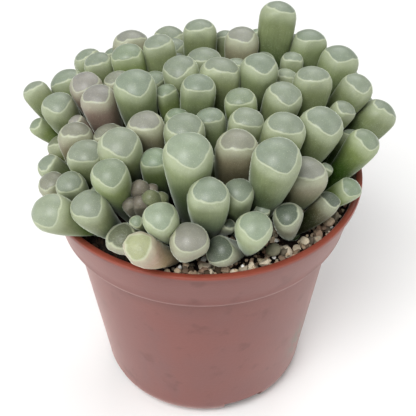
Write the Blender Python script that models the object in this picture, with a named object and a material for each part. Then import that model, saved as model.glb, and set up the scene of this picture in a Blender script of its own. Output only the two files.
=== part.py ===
"""Potted baby toes (Fenestraria): a clump of windowed succulent heads in a plastic nursery pot.

Sizes are in millimetres and become metres when a mesh is made.  X runs to the right, Y to the
back and Z up; the pot stands on z = 0 with its axis on the Z axis.
"""
import math

import bmesh
import bpy
import numpy as np
from mathutils import Vector

MM = 0.001

# The nursery pot.
RIM_RADIUS = 45.0
POT_HEIGHT = 75.5
LIP_HEIGHT = 1.6
LIP_OVERHANG = 0.8
COLLAR_HEIGHT = 14.5
COLLAR_FOOT_RADIUS = 41.2
BODY_TOP_RADIUS = 38.4
BODY_FOOT_RADIUS = 30.6
FOOT_ROUNDING = 7.0
WALL = 1.2
FLOOR = 6.3
POT_SIDES = 48

# The notches under the pot, with a drain hole in each.
NOTCH_COUNT = 4
NOTCH_TURN = -66.0
NOTCH_WIDTH = 24.0
NOTCH_DEPTH = 5.5
NOTCH_INNER = 19.0
DRAIN_RADIUS = 3.0
DRAIN_REACH = 23.0

# What fills the pot.
GAP = 0.3
SOIL_DROP = 4.0
SOIL_WAVE = 0.25
SOIL_SIDES = 36
GRIT_DROP = 1.6
GRIT_BUMP = 0.7
GRIT_FROM = -104.0
GRIT_TO = -16.0
GRIT_STEPS = 26
GRIT_INNER = 26.0
GRIT_CLEAR = 1.0
GRIT_THIN = 0.35
GRIT_NARROW = 1.0

# The toes: how a toe swells from its foot to its widest place, and how its tip closes.
TOE_SIDES = 8
FOOT_SHARE = 0.40
MIDDLE_SHARE = 0.63
UPPER_SHARE = 0.89
TIP_RISE = 0.86
TIP_LIFT = 0.40
FLAT_FACE = 0.86
BOW = 0.05
SETTLE_ROUNDS = 360
BUD_GATHER = 0.64
TOE_GAP = 0.22
CROWN_HEIGHT = 1.8
YOUNG_CROWN_HEIGHT = 7.0
YOUNG_CROWN_RADIUS = 2.6

# Each head is one grown piece: the place of its crown on the soil, then its toes.  A toe is
# (right, back, height above the rim, width, way its flat face looks in degrees), all taken at
# the widest place.  0 degrees looks at the viewer in front, 90 to the right, 180 to the back.
HEADS = {
    # The left side of the clump.
    "head_01": ((-31, 7), [(-46, 9, 17, 7.8, 20), (-39, 1, 18, 9.6, 200), (-45, 5, 11, 5.5, 90)]),
    "head_02": ((-24, 11), [(-38, 12, 19, 10.0, 0), (-31, 6, 22, 9.4, 150)]),
    "head_03": ((-21, -1), [(-27, -5, 24, 9.9, 215), (-33, -3, 18, 5.2, 60)]),
    "head_04": ((-22, 20), [(-29, 18, 21, 8.6, 0), (-32, 27, 17, 8.6, 40), (-27, 27, 19, 7.0, 0)]),
    "head_05": ((-14, 20), [(-20, 17, 24, 9.8, 0), (-21, 27, 22, 10.8, 30)]),
    "head_06": ((-7, 17), [(-13, 16, 27, 9.2, 10), (-7, 20, 22, 5.6, 0)]),
    "head_07": ((-14, 5), [(-17, -4, 28, 11.6, 200), (-24, 8, 22, 8.2, 30), (-12, 9, 22, 7.6, 60)]),
    # The back of the clump.
    "head_08": ((-2, 24), [(-3, 25, 27, 9.9, 0), (-8, 30, 19, 8.6, 190), (2, 32, 19, 9.0, 170)]),
    "head_09": ((8, 22), [(11, 24, 25, 10.0, 200), (6, 29, 23, 7.0, 0), (17, 32, 22, 5.4, 0)]),
    "head_10": ((16, 22), [(21, 27, 31, 10.6, 0), (26, 27, 24, 6.2, 60), (17, 17, 23, 6.8, 0)]),
    "head_11": ((-1, 10), [(1, 11, 26, 10.7, 0), (-6, 5, 27, 10.0, 170)]),
    "head_12": ((-5, 1), [(-2, -6, 29, 9.5, 0), (-10, -1, 25, 6.6, 30)]),
    "head_13": ((4, 5), [(5, 2, 28, 11.6, 0), (8, 14, 23, 8.0, 30)]),
    "head_14": ((10, 10), [(14, 6, 27, 10.8, 195), (22, 9, 23, 6.8, 0)]),
    # The right side of the clump.
    "head_15": ((21, 17), [(30, 21, 25, 10.8, 20), (26, 19, 22, 6.8, 0)]),
    "head_16": ((27, 10), [(37, 15, 24, 11.8, 160), (41, 10, 19, 9.8, 190), (30, 10, 20, 6.8, 0)]),
    "head_17": ((22, 2), [(30, 3, 24, 10.8, 10), (37, 2, 18, 7.2, 30)]),
    "head_18": ((33, 2), [(48, 3, 15, 10.2, 10)]),
    "head_19": ((13, 1), [(20, -4, 25, 10.3, 190), (11, -7, 26, 8.6, 0)]),
    "head_20": ((21, -7), [(30, -14, 23, 12.0, 200)]),
    "head_21": ((31, -8), [(42, -10, 15, 8.9, 190), (41, -2, 10, 7.0, 90)]),
    # The left front.
    "head_22": ((-30, -9), [(-39, -15, 12, 7.2, 60), (-33, -15, 19, 9.6, 10), (-38, -7, 12, 7.8, 100)]),
    "head_23": ((-29, -16), [(-38, -22, 11, 7.6, 40), (-32, -26, 12, 8.6, 0)]),
    "head_24": ((-21, -16), [(-29, -24, 19, 10.4, 350), (-26, -27, 13, 4.8, 0)]),
    "head_25": ((-18, -8), [(-25, -13, 19, 8.8, 0), (-20, -23, 23, 11.8, 205)]),
    "head_26": ((-17, -22), [(-20, -32, 22, 10.3, 195)]),
    "head_27": ((-11, -16), [(-12, -26, 21, 8.0, 0)]),
    "head_28": ((-10, -9), [(-14, -19, 25, 10.5, 350), (-7, -12, 24, 7.0, 0)]),
    # The middle of the front.
    "head_29": ((-6, -21), [(-4, -32, 26, 12.6, 195), (1, -25, 20, 6.6, 0)]),
    "head_30": ((-2, -11), [(-3, -21, 26, 10.8, 200)]),
    "head_31": ((2, -25), [(2, -36, 19, 10.4, 0), (6, -38, 11, 3.6, 0)]),
    "head_32": ((6, -10), [(3, -14, 25, 8.2, 0), (11, -16, 25, 9.6, 0)]),
    "head_33": ((5, -17), [(7, -27, 26, 11.2, 5)]),
    "head_34": ((12, -20), [(16, -31, 25, 12.6, 200), (15, -33, 12, 4.0, 0)]),
    "head_35": ((13, -13), [(19, -19, 26, 11.3, 0)]),
    "head_36": ((9, -25), [(10, -33, 18, 8.2, 190)]),
    "head_37": ((21, -19), [(26, -28, 17, 11.2, 10), (32, -17, 12, 3.9, 0)]),
    "head_38": ((27, -16), [(38, -21, 8, 7.0, 40)]),
    "head_39": ((22, -25), [(31, -26, 9, 7.0, 70), (21, -33, 10, 8.0, 60)]),
    # Along the front rim.
    "head_40": ((9, -31), [(11, -41, 12, 9.4, 185), (5, -41, 7, 8.4, 130)]),
    "head_41": ((-3, -29), [(-3, -41, 11, 10.0, 20)]),
    "head_42": ((-9, -28), [(-10, -42, 14, 9.5, 190)]),
    "head_43": ((-15, -31), [(-20, -37, 7, 9.0, 340)]),
    "head_44": ((-19, -27), [(-26, -35, 14, 9.8, 215)]),
    "head_50": ((-28, -23), [(-36, -31, 10, 10.8, 190)]),
    # The back rim, which the taller toes hide from the front.
    "head_45": ((-28, 24), [(-33, 33, 12, 9.6, 200), (-40, 22, 11, 8.8, 150), (-26, 36, 12, 8.8, 190), (-42, 14, 9, 7.6, 120)]),
    "head_46": ((-12, 31), [(-12, 38, 16, 10.2, 180), (-19, 38, 13, 9.6, 200), (-8, 43, 8, 8.4, 170), (-17, 32, 17, 7.6, 200)]),
    "head_47": ((4, 33), [(1, 41, 12, 9.8, 190), (9, 42, 9, 9.2, 180), (11, 36, 17, 9.0, 200)]),
    "head_48": ((21, 30), [(22, 36, 18, 10.2, 170), (19, 42, 9, 9.4, 180), (30, 34, 14, 10.0, 150)]),
    "head_49": ((32, 19), [(41, 24, 12, 10.0, 140), (34, 28, 17, 9.0, 160), (45, 16, 9, 8.8, 120)]),
}

# A young head, whose toes are still buds.
YOUNG_HEADS = {
    "young_head": ((-12, -26), [(-17, -31, 17, 4.6, 0), (-13, -31, 17, 3.8, 90), (-18, -33, 14, 3.8, 20),
                                (-15, -34, 12, 4.6, 0), (-12, -33, 14, 4.8, 330), (-9, -32, 15, 3.6, 300),
                                (-17, -37, 12, 3.6, 330)]),
}

# A toe that lies on the rim, and the loose stones: right, back, height above the rim, sizes.
FALLEN_TOE = ((-7, -38), [(-15, -42, 6, 9.0, 300)])
STONES = {
    "stone_1": (33.3, -24.3, 3.2, 2.6, 2.4, 20),
    "stone_2": (18, -35, 4.6, 3.8, 2.8, 70),
    "stone_3": (26.3, -31.5, 2.8, 2.4, 2.2, 120),
    "stone_4": (36, -14, 4.2, 3.4, 2.6, 150),
}

COLOURS = {
    "pot": (0.42, 0.15, 0.11, 0.45),
    "soil": (0.03, 0.022, 0.018, 0.95),
    "grit": (0.40, 0.33, 0.26, 0.9),
    "stone": (0.36, 0.33, 0.28, 0.85),
    "toe": (0.24, 0.34, 0.20, 0.45),
    "young": (0.30, 0.30, 0.26, 0.5),
    "fallen": (0.52, 0.46, 0.32, 0.6),
}


# ---- Laying out the toes -------------------------------------------------------------------

STATIONS = np.linspace(0.0, 1.0, 13)
# The way from the clump to a viewer in front and above, and how strongly a round draws toes
# back across it and along it, and crowns back to their places.
SIGHT = np.array([0.0, -0.7524, 0.6587])
PULLS = (0.06, 0.014, 0.02)
PULLS_AT_LAST = (0.012, 0.003, 0.001)
CROWNS = {}


def swell(t):
    """How wide a toe is at t, from its foot (0) to its widest place (1), as a share."""
    return np.interp(t, [0.0, 0.32, 0.64, 1.0], [FOOT_SHARE, MIDDLE_SHARE, UPPER_SHARE, 1.0])


def soil_top():
    return POT_HEIGHT - SOIL_DROP


def all_heads():
    """Every grown piece by name, in one order."""
    heads = dict(HEADS)
    heads.update(YOUNG_HEADS)
    heads["fallen_toe"] = FALLEN_TOE
    return heads


def foot_points(crowns, tips, radii, head_of, alone):
    """Where each toe leaves its crown: a little way out towards its own tip."""
    feet = np.zeros((len(tips), 3))
    feet[:, :2] = crowns[head_of]
    feet[:, 2] = soil_top() + SOIL_WAVE + GAP
    out = tips[:, :2] - feet[:, :2]
    length = np.maximum(np.linalg.norm(out, axis=1), 1e-6)
    step = np.where(alone, 0.0, 0.6 * FOOT_SHARE * radii)
    feet[:, :2] += out / length[:, None] * step[:, None]
    feet[:, 2] += np.where(alone, 0.0, 0.5 * CROWN_HEIGHT)
    return feet


def measure(crowns, tips, radii, head_of, alone):
    """The toes as rows of balls: their middles and sizes, the first one being the crown."""
    points = axis_points(foot_points(crowns, tips, radii, head_of, alone), tips, STATIONS)
    widths = radii[:, None] * swell(STATIONS)[None, :]
    crown_width = np.zeros(len(crowns))
    np.maximum.at(crown_width, head_of, 1.6 * FOOT_SHARE * radii + 0.2)
    points[~alone, 0, :2] = crowns[head_of[~alone]]
    widths[~alone, 0] = crown_width[head_of[~alone]]
    return points, widths


def axis_points(feet, tips, t):
    """Points along the toes' axes, which bow a little outwards."""
    t = np.asarray(t)[None, :, None]
    line = feet[:, None, :] * (1.0 - t) + tips[:, None, :] * t
    out = tips - feet
    out[:, 2] = 0.0
    return line + out[:, None, :] * (4.0 * t * (1.0 - t) * BOW)


def settle():
    """Moves the toes apart until those of different heads keep a gap, and clear the pot."""
    heads = all_heads()
    crowns = np.array([entry[0] for entry in heads.values()], float)
    toes = [(n, toe) for n, entry in enumerate(heads.values()) for toe in entry[1]]
    head_of = np.array([n for n, toe in toes])
    tips = np.array([toe[:3] for n, toe in toes], float)
    tips[:, 2] += POT_HEIGHT
    radii = np.array([toe[3] / 2.0 for n, toe in toes])
    turns = np.array([toe[4] for n, toe in toes], float)
    alone = np.array([np.sum(head_of == n) == 1 for n in head_of])
    wanted_tips, wanted_crowns = tips.copy(), crowns.copy()
    first, second = np.triu_indices(len(toes), 1)
    near = np.linalg.norm(tips[first] - tips[second], axis=1) < 30.0
    first, second = first[near], second[near]
    kin = head_of[first] == head_of[second]
    for turn in range(SETTLE_ROUNDS):
        last = turn > SETTLE_ROUNDS * 0.75
        moved_tips, moved_crowns = np.zeros_like(tips), np.zeros_like(crowns)
        points, widths = measure(crowns, tips, radii, head_of, alone)
        push_apart(points, widths, first, second, kin, head_of, moved_tips, moved_crowns, radii, last)
        clear_the_pot(points, widths, head_of, moved_tips, moved_crowns)
        pulls = PULLS_AT_LAST if last else PULLS
        tips += 0.5 * moved_tips + pull_back(tips, wanted_tips, *pulls)
        crowns += 0.4 * moved_crowns + pulls[2] * (wanted_crowns - crowns)
    slim_down(crowns, tips, radii, head_of, alone, first, second, kin)
    feet = foot_points(crowns, tips, radii, head_of, alone)
    found = {name: [] for name in heads}
    names = list(heads)
    CROWNS.update({name: tuple(crown) for name, crown in zip(names, crowns)})
    for n in range(len(toes)):
        found[names[head_of[n]]].append((feet[n], tips[n], radii[n], turns[n]))
    found["young_head"] = gather_buds(found["young_head"])
    return found


def gather_buds(toes):
    """Draws the young head's buds in towards their middle.  Its last toe is grown, and stays."""
    middle = sum(tip for foot, tip, radius, turn in toes[:-1]) / (len(toes) - 1)
    buds = [(foot, middle + BUD_GATHER * (tip - middle), radius, turn) for foot, tip, radius, turn in toes[:-1]]
    return buds + toes[-1:]


def pull_back(tips, wanted, across, along, crown):
    """Draws the toes back to their places, but less so along the way the clump is seen."""
    off = wanted - tips
    deep = (off @ SIGHT)[:, None] * SIGHT
    return across * (off - deep) + along * deep


def slim_down(crowns, tips, radii, head_of, alone, first, second, kin):
    """Narrows the toes that still crowd each other once they have stopped moving."""
    other = np.nonzero(~kin)[0]
    first, second = first[other], second[other]
    for turn in range(60):
        points, widths = measure(crowns, tips, radii, head_of, alone)
        far = np.linalg.norm(points[first][:, :, None, :] - points[second][:, None, :, :], axis=3)
        need = widths[first][:, :, None] + widths[second][:, None, :] + TOE_GAP - 0.06 - far
        amount = need.reshape(len(first), -1).max(axis=1)
        if amount.max() <= 0.0:
            return
        for k in np.nonzero(amount > 0.0)[0]:
            radii[first[k]] -= 0.3 * amount[k]
            radii[second[k]] -= 0.3 * amount[k]


def push_apart(points, widths, first, second, kin, head_of, moved_tips, moved_crowns, radii, last):
    """Adds the moves that part each pair of toes at the place where they are closest."""
    between = points[first][:, :, None, :] - points[second][:, None, :, :]
    far = np.linalg.norm(between, axis=3)
    need = widths[first][:, :, None] + widths[second][:, None, :] + TOE_GAP - far
    low = STATIONS < 0.6
    same = kin[:, None, None] & (low[None, :, None] | low[None, None, :])
    need = np.where(same, -1.0, need)
    flat = need.reshape(len(first), -1)
    worst = flat.argmax(axis=1)
    amount = flat[np.arange(len(first)), worst]
    for k in np.nonzero(amount > 0.0)[0]:
        a, b = divmod(worst[k], len(STATIONS))
        way = between[k, a, b] / max(far[k, a, b], 1e-6)
        for toe, at, sign in ((first[k], a, 1.0), (second[k], b, -1.0)):
            t = STATIONS[at]
            share = 1.0 / (t * t + (1.0 - t) ** 2)
            step = way * sign * amount[k] * 0.5 * share
            moved_tips[toe] += step * t
            moved_crowns[head_of[toe]] += step[:2] * (1.0 - t)
            if last and amount[k] > 0.05:
                radii[toe] *= 1.0 - min(0.02, 0.1 * amount[k] / radii[toe])


def clear_the_pot(points, widths, head_of, moved_tips, moved_crowns):
    """Adds the moves that keep toes inside the rim, above it, and off the soil."""
    middle = RIM_RADIUS - WALL * 0.7
    reach = np.linalg.norm(points[:, :, :2], axis=2)
    over = np.stack([reach - middle, points[:, :, 2] - POT_HEIGHT], axis=2)
    inside = over[:, :, 1] < 0.0
    over[:, :, 1] = np.where(inside, 0.0, over[:, :, 1])
    over[:, :, 0] = np.where(inside, np.minimum(over[:, :, 0], -0.01), over[:, :, 0])
    far = np.linalg.norm(over, axis=2)
    need = widths + WALL * 0.7 + TOE_GAP + 0.25 - far
    for toe, at in zip(*np.nonzero(need > 0.0)):
        t = STATIONS[at]
        in_plane = over[toe, at] / max(far[toe, at], 1e-6)
        out = points[toe, at, :2] / max(reach[toe, at], 1e-6)
        step = np.array([out[0] * in_plane[0], out[1] * in_plane[0], in_plane[1]]) * need[toe, at]
        share = 0.5 / (t * t + (1.0 - t) ** 2)
        moved_tips[toe] += step * t * share
        moved_crowns[head_of[toe]] += step[:2] * (1.0 - t) * share
    floor = soil_top() + SOIL_WAVE + GAP
    low = floor + widths - points[:, :, 2]
    low[:, STATIONS < 0.3] = 0.0
    moved_tips[:, 2] += np.maximum(low.max(axis=1), 0.0)


# ---- Building meshes -----------------------------------------------------------------------

def clear_scene():
    for old in list(bpy.data.objects):
        bpy.data.objects.remove(old, do_unlink=True)


def make_material(name, colour):
    material = bpy.data.materials.new(name)
    material.use_nodes = True
    shader = material.node_tree.nodes["Principled BSDF"]
    shader.inputs["Base Color"].default_value = (*colour[:3], 1.0)
    shader.inputs["Roughness"].default_value = colour[3]
    shader.inputs["Metallic"].default_value = 0.0
    material.diffuse_color = (*colour[:3], 1.0)
    return material


def make_object(name, vertices, faces, material):
    """An object from points in millimetres, with its faces turned outwards."""
    mesh = bpy.data.meshes.new(name)
    mesh.from_pydata([Vector(v) * MM for v in vertices], [], faces)
    build = bmesh.new()
    build.from_mesh(mesh)
    bmesh.ops.triangulate(build, faces=build.faces)
    bmesh.ops.recalc_face_normals(build, faces=build.faces)
    build.to_mesh(mesh)
    build.free()
    mesh.materials.append(material)
    thing = bpy.data.objects.new(name, mesh)
    bpy.context.scene.collection.objects.link(thing)
    return thing


def lathe(profile, sides, shape=None):
    """Points and faces of a closed body turned round Z; both ends of the profile are on it."""
    vertices = [(0.0, 0.0, profile[0][1])]
    for radius, height in profile[1:-1]:
        for k in range(sides):
            angle = 2.0 * math.pi * k / sides
            lift = shape(radius, angle, height) if shape else 0.0
            vertices.append((radius * math.cos(angle), radius * math.sin(angle), height + lift))
    vertices.append((0.0, 0.0, profile[-1][1]))
    faces = []
    rings = len(profile) - 2
    for k in range(sides):
        after = (k + 1) % sides
        faces.append((0, 1 + after, 1 + k))
        for ring in range(rings - 1):
            low, high = 1 + ring * sides, 1 + (ring + 1) * sides
            faces.append((low + k, low + after, high + after, high + k))
        top = 1 + (rings - 1) * sides
        faces.append((top + k, top + after, len(vertices) - 1))
    return vertices, faces


def combine(body, others, operation):
    """Joins the other objects to the body, or cuts them from it, and removes them."""
    for other in others:
        cut = body.modifiers.new("combine", "BOOLEAN")
        cut.operation = operation
        cut.solver = "EXACT"
        cut.object = other
        bpy.context.view_layer.update()
        whole = body.evaluated_get(bpy.context.evaluated_depsgraph_get())
        mesh = bpy.data.meshes.new_from_object(whole)
        body.modifiers.clear()
        body.data = mesh
        bpy.data.objects.remove(other, do_unlink=True)
    return body


# ---- The pot and what fills it -------------------------------------------------------------

def body_radius(height):
    """The pot body's outer radius at a height, before its foot is rounded."""
    top = POT_HEIGHT - COLLAR_HEIGHT
    return BODY_FOOT_RADIUS + (BODY_TOP_RADIUS - BODY_FOOT_RADIUS) * height / top


def collar_radius(height):
    """The collar's outer radius at a height."""
    foot = POT_HEIGHT - COLLAR_HEIGHT
    share = (height - foot) / (COLLAR_HEIGHT - LIP_HEIGHT)
    return COLLAR_FOOT_RADIUS + (RIM_RADIUS - LIP_OVERHANG - COLLAR_FOOT_RADIUS) * share


def outer_profile():
    """The pot's outside from the middle of its foot to the top of its lip."""
    step = POT_HEIGHT - COLLAR_HEIGHT
    flat = BODY_FOOT_RADIUS - FOOT_ROUNDING * 0.75
    profile = [(0.0, 0.0), (NOTCH_INNER - 2.0, 0.0), (flat, 0.0)]
    for k in range(1, 5):
        angle = 0.5 * math.pi * k / 4.0
        out = flat + (body_radius(FOOT_ROUNDING) - flat) * math.sin(angle)
        profile.append((out, FOOT_ROUNDING * (1.0 - math.cos(angle))))
    profile.append((body_radius(step * 0.5), step * 0.5))
    profile.append((body_radius(step - 0.6), step - 0.6))
    profile.append((COLLAR_FOOT_RADIUS - 0.5, step))
    profile.append((COLLAR_FOOT_RADIUS, step + 0.5))
    lip = POT_HEIGHT - LIP_HEIGHT
    profile.append((collar_radius(lip) - 0.02, lip))
    profile.append((RIM_RADIUS, lip + 0.35))
    profile.append((RIM_RADIUS, POT_HEIGHT - 0.4))
    profile.append((RIM_RADIUS - 0.4, POT_HEIGHT))
    return profile


def inner_radius(height):
    """The radius of the pot's inner wall at a height."""
    step = POT_HEIGHT - COLLAR_HEIGHT + WALL
    if height >= step:
        return collar_radius(height) - WALL
    return body_radius(height) - WALL


def inner_profile(gap=0.0):
    """The pot's inside from its top edge down to the middle of its floor."""
    step = POT_HEIGHT - COLLAR_HEIGHT + WALL
    profile = [(RIM_RADIUS - LIP_OVERHANG - WALL + 0.5, POT_HEIGHT)] if not gap else []
    profile.append((inner_radius(POT_HEIGHT - 0.8) - gap, POT_HEIGHT - 0.8))
    profile.append((inner_radius(step + 0.2) - gap, step + gap))
    profile.append((inner_radius(step - 0.8) - gap, step - 0.8 + gap))
    inside = FOOT_ROUNDING * 0.7
    profile.append((inner_radius(FLOOR + inside) - gap, FLOOR + inside))
    profile.append((inner_radius(FLOOR + inside) - gap - inside * 0.35, FLOOR + inside * 0.3))
    profile.append((inner_radius(FLOOR + inside) - gap - inside, FLOOR + gap))
    profile.append((0.0, FLOOR + gap))
    return profile


def make_pot(material):
    vertices, faces = lathe(outer_profile() + inner_profile(), POT_SIDES)
    pot = make_object("pot", vertices, faces, material)
    cutters = []
    for k in range(NOTCH_COUNT):
        turn = math.radians(NOTCH_TURN + 360.0 * k / NOTCH_COUNT)
        cutters.append(notch_cutter(turn, material))
        cutters.append(drain_cutter(turn, material))
    combine(pot, cutters, "DIFFERENCE")
    return pot


def notch_cutter(turn, material):
    """A wedge under the foot, wider at the outside, with a sloping roof at both sides."""
    inner, outer = NOTCH_INNER, RIM_RADIUS
    half = math.radians(NOTCH_WIDTH / 2.0)
    slope = math.radians(2.0)
    vertices = []
    for height, spread in ((-4.0, 0.0), (NOTCH_DEPTH, -slope)):
        for radius, side in ((inner, -1), (outer, -1), (outer, 1), (inner, 1)):
            angle = turn + side * (half + spread)
            vertices.append((radius * math.cos(angle), radius * math.sin(angle), height))
    faces = [(0, 1, 2, 3), (7, 6, 5, 4), (0, 4, 5, 1), (1, 5, 6, 2), (2, 6, 7, 3), (3, 7, 4, 0)]
    return make_object("notch", vertices, faces, material)


def drain_cutter(turn, material):
    """A round hole through the floor."""
    profile = [(0.0, -3.0), (DRAIN_RADIUS, -3.0), (DRAIN_RADIUS, FLOOR + 3.0), (0.0, FLOOR + 3.0)]
    vertices, faces = lathe(profile, 16)
    x, y = DRAIN_REACH * math.cos(turn), DRAIN_REACH * math.sin(turn)
    vertices = [(v[0] + x, v[1] + y, v[2]) for v in vertices]
    return make_object("drain", vertices, faces, material)


def ripple(x, y):
    """A gentle unevenness between -1 and 1."""
    return 0.5 * math.sin(0.55 * x + 1.3) * math.cos(0.48 * y) + 0.5 * math.sin(0.31 * x - 0.42 * y)


def make_soil(material):
    """The potting mix: it fills the pot up to a little below the rim."""
    top = soil_top()
    lower = [point for point in inner_profile(GAP) if point[1] < top - 1.0]
    lower.reverse()
    profile = lower + [(inner_radius(top - 0.8) - GAP, top - 0.8)]
    for share in (0.97, 0.75, 0.5, 0.25):
        profile.append((inner_radius(top) * share - GAP, top))
    profile.append((0.0, top))

    def wave(radius, angle, height):
        if height < top - 0.1:
            return 0.0
        return SOIL_WAVE * ripple(radius * math.cos(angle), radius * math.sin(angle))

    vertices, faces = lathe(profile, SOIL_SIDES, wave)
    soil = make_object("soil", vertices, faces, material)
    return soil


def toe_discs(found):
    """The toes and crowns as balls, one row each: right, back, up and radius."""
    shares = np.linspace(0.0, 1.0, 25)
    rows = []
    for name, toes in found.items():
        for foot, tip, radius, turn in toes:
            points = axis_points(np.array([foot]), np.array([tip]), shares)[0]
            rows.append(np.column_stack([points, radius * swell(shares)]))
        wide = max(1.6 * FOOT_SHARE * toe[2] + 0.2 for toe in toes)
        rows.append(np.array([[*CROWNS[name], soil_top() + GAP, wide]]))
    return np.concatenate(rows)


def grit_inner(angle, discs, top):
    """How far out the toes reach at an angle, at the height of the grit."""
    low = discs[discs[:, 2] - discs[:, 3] < top + 0.6]
    along = low[:, 0] * math.cos(angle) + low[:, 1] * math.sin(angle)
    across = low[:, 1] * math.cos(angle) - low[:, 0] * math.sin(angle)
    wide = low[:, 3] + GRIT_CLEAR
    met = (np.abs(across) < wide) & (along > 0.0)
    reach = along[met] + np.sqrt(wide[met] ** 2 - across[met] ** 2)
    return max(GRIT_INNER, reach.max(initial=0.0))


def room_above(x, y, discs):
    """How high the grit may reach at a place before it meets the toes that lean over it."""
    wide = discs[:, 3] + GRIT_CLEAR
    far = np.hypot(discs[:, 0] - x, discs[:, 1] - y)
    over = far < wide
    under = discs[over, 2] - np.sqrt(wide[over] ** 2 - far[over] ** 2)
    return under.min(initial=POT_HEIGHT)


def make_grit(found, material):
    """A crescent of loose grit along the front of the rim, as one bumpy layer."""
    top = POT_HEIGHT - GRIT_DROP
    bottom = soil_top() + SOIL_WAVE + GAP
    discs = toe_discs(found)
    columns = 5
    vertices = []
    for layer in (0, 1):
        for k in range(GRIT_STEPS + 1):
            angle = math.radians(GRIT_FROM + (GRIT_TO - GRIT_FROM) * k / GRIT_STEPS)
            outer = inner_radius(bottom) - GAP - 0.15
            inner = min(grit_inner(angle, discs, top + GRIT_BUMP), outer - GRIT_NARROW)
            for column in range(columns):
                radius = inner + (outer - inner) * column / (columns - 1)
                edge = column in (0, columns - 1) or k in (0, GRIT_STEPS)
                bump = GRIT_BUMP * math.sin(7.3 * k + 4.1 * column) * math.cos(2.9 * k - 3.3 * column)
                x, y = radius * math.cos(angle), radius * math.sin(angle)
                height = bottom if layer == 0 else top + (-0.7 if edge else bump)
                if layer == 1:
                    height = max(min(height, room_above(x, y, discs)), bottom + GRIT_THIN)
                vertices.append((x, y, height))
    rows = GRIT_STEPS + 1
    count = rows * columns
    faces = []
    for k in range(GRIT_STEPS):
        for column in range(columns - 1):
            a = k * columns + column
            faces.append((a, a + 1, a + columns + 1, a + columns))
            faces.append((count + a, count + a + columns, count + a + columns + 1, count + a + 1))
        for column in (0, columns - 1):
            a = k * columns + column
            faces.append((a, a + columns, count + a + columns, count + a))
    for k in (0, GRIT_STEPS):
        for column in range(columns - 1):
            a = k * columns + column
            faces.append((a, a + 1, count + a + 1, count + a))
    grit = make_object("grit", vertices, faces, material)
    return grit


def make_stone(name, place, material):
    """A rounded stone that lies on the grit."""
    x, y, long, wide, tall, turn = place
    base = POT_HEIGHT - GRIT_DROP + GRIT_BUMP + GAP
    build = bmesh.new()
    bmesh.ops.create_icosphere(build, subdivisions=2, radius=1.0)
    spin = math.radians(turn)
    vertices = []
    for vertex in build.verts:
        p = vertex.co
        knob = 1.0 + 0.08 * math.sin(3.0 * p.x + turn) * math.cos(2.5 * p.y) + 0.05 * math.sin(4.0 * p.z)
        a, b = p.x * long / 2.0 * knob, p.y * wide / 2.0 * knob
        z = base + tall / 2.0 + max(p.z * knob, -0.8) * tall / 2.0
        vertices.append((x + a * math.cos(spin) - b * math.sin(spin),
                         y + a * math.sin(spin) + b * math.cos(spin), z))
    faces = [tuple(v.index for v in face.verts) for face in build.faces]
    build.free()
    stone = make_object(name, vertices, faces, material)
    return stone


# ---- The toes ------------------------------------------------------------------------------

def toe_points(toe, spin=0.0):
    """Points and faces of one toe: rings from its foot to its widest place, then a rounded tip."""
    foot, tip, radius, turn = toe
    spots = axis_points(np.array([foot]), np.array([tip]), [0.0, 0.32, 0.64, 1.0])[0]
    spots = [Vector(spot) for spot in spots]
    ahead = (spots[3] - spots[2]).normalized()
    top = (ahead + Vector((0.0, 0.0, TIP_LIFT))).normalized()
    rings = [(spots[0], FOOT_SHARE, Vector((0, 0, 1)))]
    rings.append((spots[1], MIDDLE_SHARE, (spots[2] - spots[0]).normalized()))
    rings.append((spots[2], UPPER_SHARE, (spots[3] - spots[1]).normalized()))
    rings.append((spots[3], 1.0, (ahead + top).normalized()))
    rings.append((spots[3] + top * radius * 0.48, 0.86, top))
    rings.append((spots[3] + top * radius * 0.77, 0.52, top))
    pole = spots[3] + top * radius * TIP_RISE
    look = Vector((math.sin(math.radians(turn)), -math.cos(math.radians(turn)), 0.0))
    vertices = []
    for centre, share, way in rings:
        face = (look - way * look.dot(way)).normalized()
        side = face.cross(way)
        for k in range(TOE_SIDES):
            angle = 2.0 * math.pi * (k + 0.5) / TOE_SIDES + spin
            out = math.sin(angle)
            size = radius * share * (1.0 - (1.0 - FLAT_FACE) * max(out, 0.0) ** 2)
            vertices.append(centre + (side * math.cos(angle) + face * out) * size)
    vertices.append(pole)
    faces = [tuple(range(TOE_SIDES))]
    for ring in range(len(rings) - 1):
        low, high = ring * TOE_SIDES, (ring + 1) * TOE_SIDES
        for k in range(TOE_SIDES):
            after = (k + 1) % TOE_SIDES
            faces.append((low + k, low + after, high + after, high + k))
    last = (len(rings) - 1) * TOE_SIDES
    for k in range(TOE_SIDES):
        faces.append((last + k, last + (k + 1) % TOE_SIDES, len(vertices) - 1))
    return vertices, faces


def crown_of(name, toes):
    """Points and faces of the crown that a head's toes grow from, as wide as their feet."""
    young = name in YOUNG_HEADS
    x, y = CROWNS[name]
    base = soil_top() + SOIL_WAVE + GAP
    wide = max(1.6 * FOOT_SHARE * radius + 0.2 for foot, tip, radius, turn in toes)
    wide = YOUNG_CROWN_RADIUS if young else wide
    tall = YOUNG_CROWN_HEIGHT if young else CROWN_HEIGHT
    profile = [(0.0, base), (wide, base), (wide * 0.94, base + tall), (0.0, base + tall)]
    vertices, faces = lathe(profile, 11)
    return [(v[0] + x, v[1] + y, v[2]) for v in vertices], faces


def make_head(name, toes, material):
    """One grown head: its toes are joined to their crown."""
    parts = []
    if len(toes) > 1:
        vertices, faces = crown_of(name, toes)
        parts.append(make_object(name, vertices, faces, material))
    for number, toe in enumerate(toes):
        foot = np.array(toe[0]) + np.array([0.0, 0.0, 0.07 * number])
        vertices, faces = toe_points((foot, toe[1], toe[2], toe[3]), 0.04 * number)
        parts.append(make_object(name, vertices, faces, material))
    head = parts[0]
    combine(head, parts[1:], "UNION")
    head.name = name
    head.data.name = name
    return head


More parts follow.
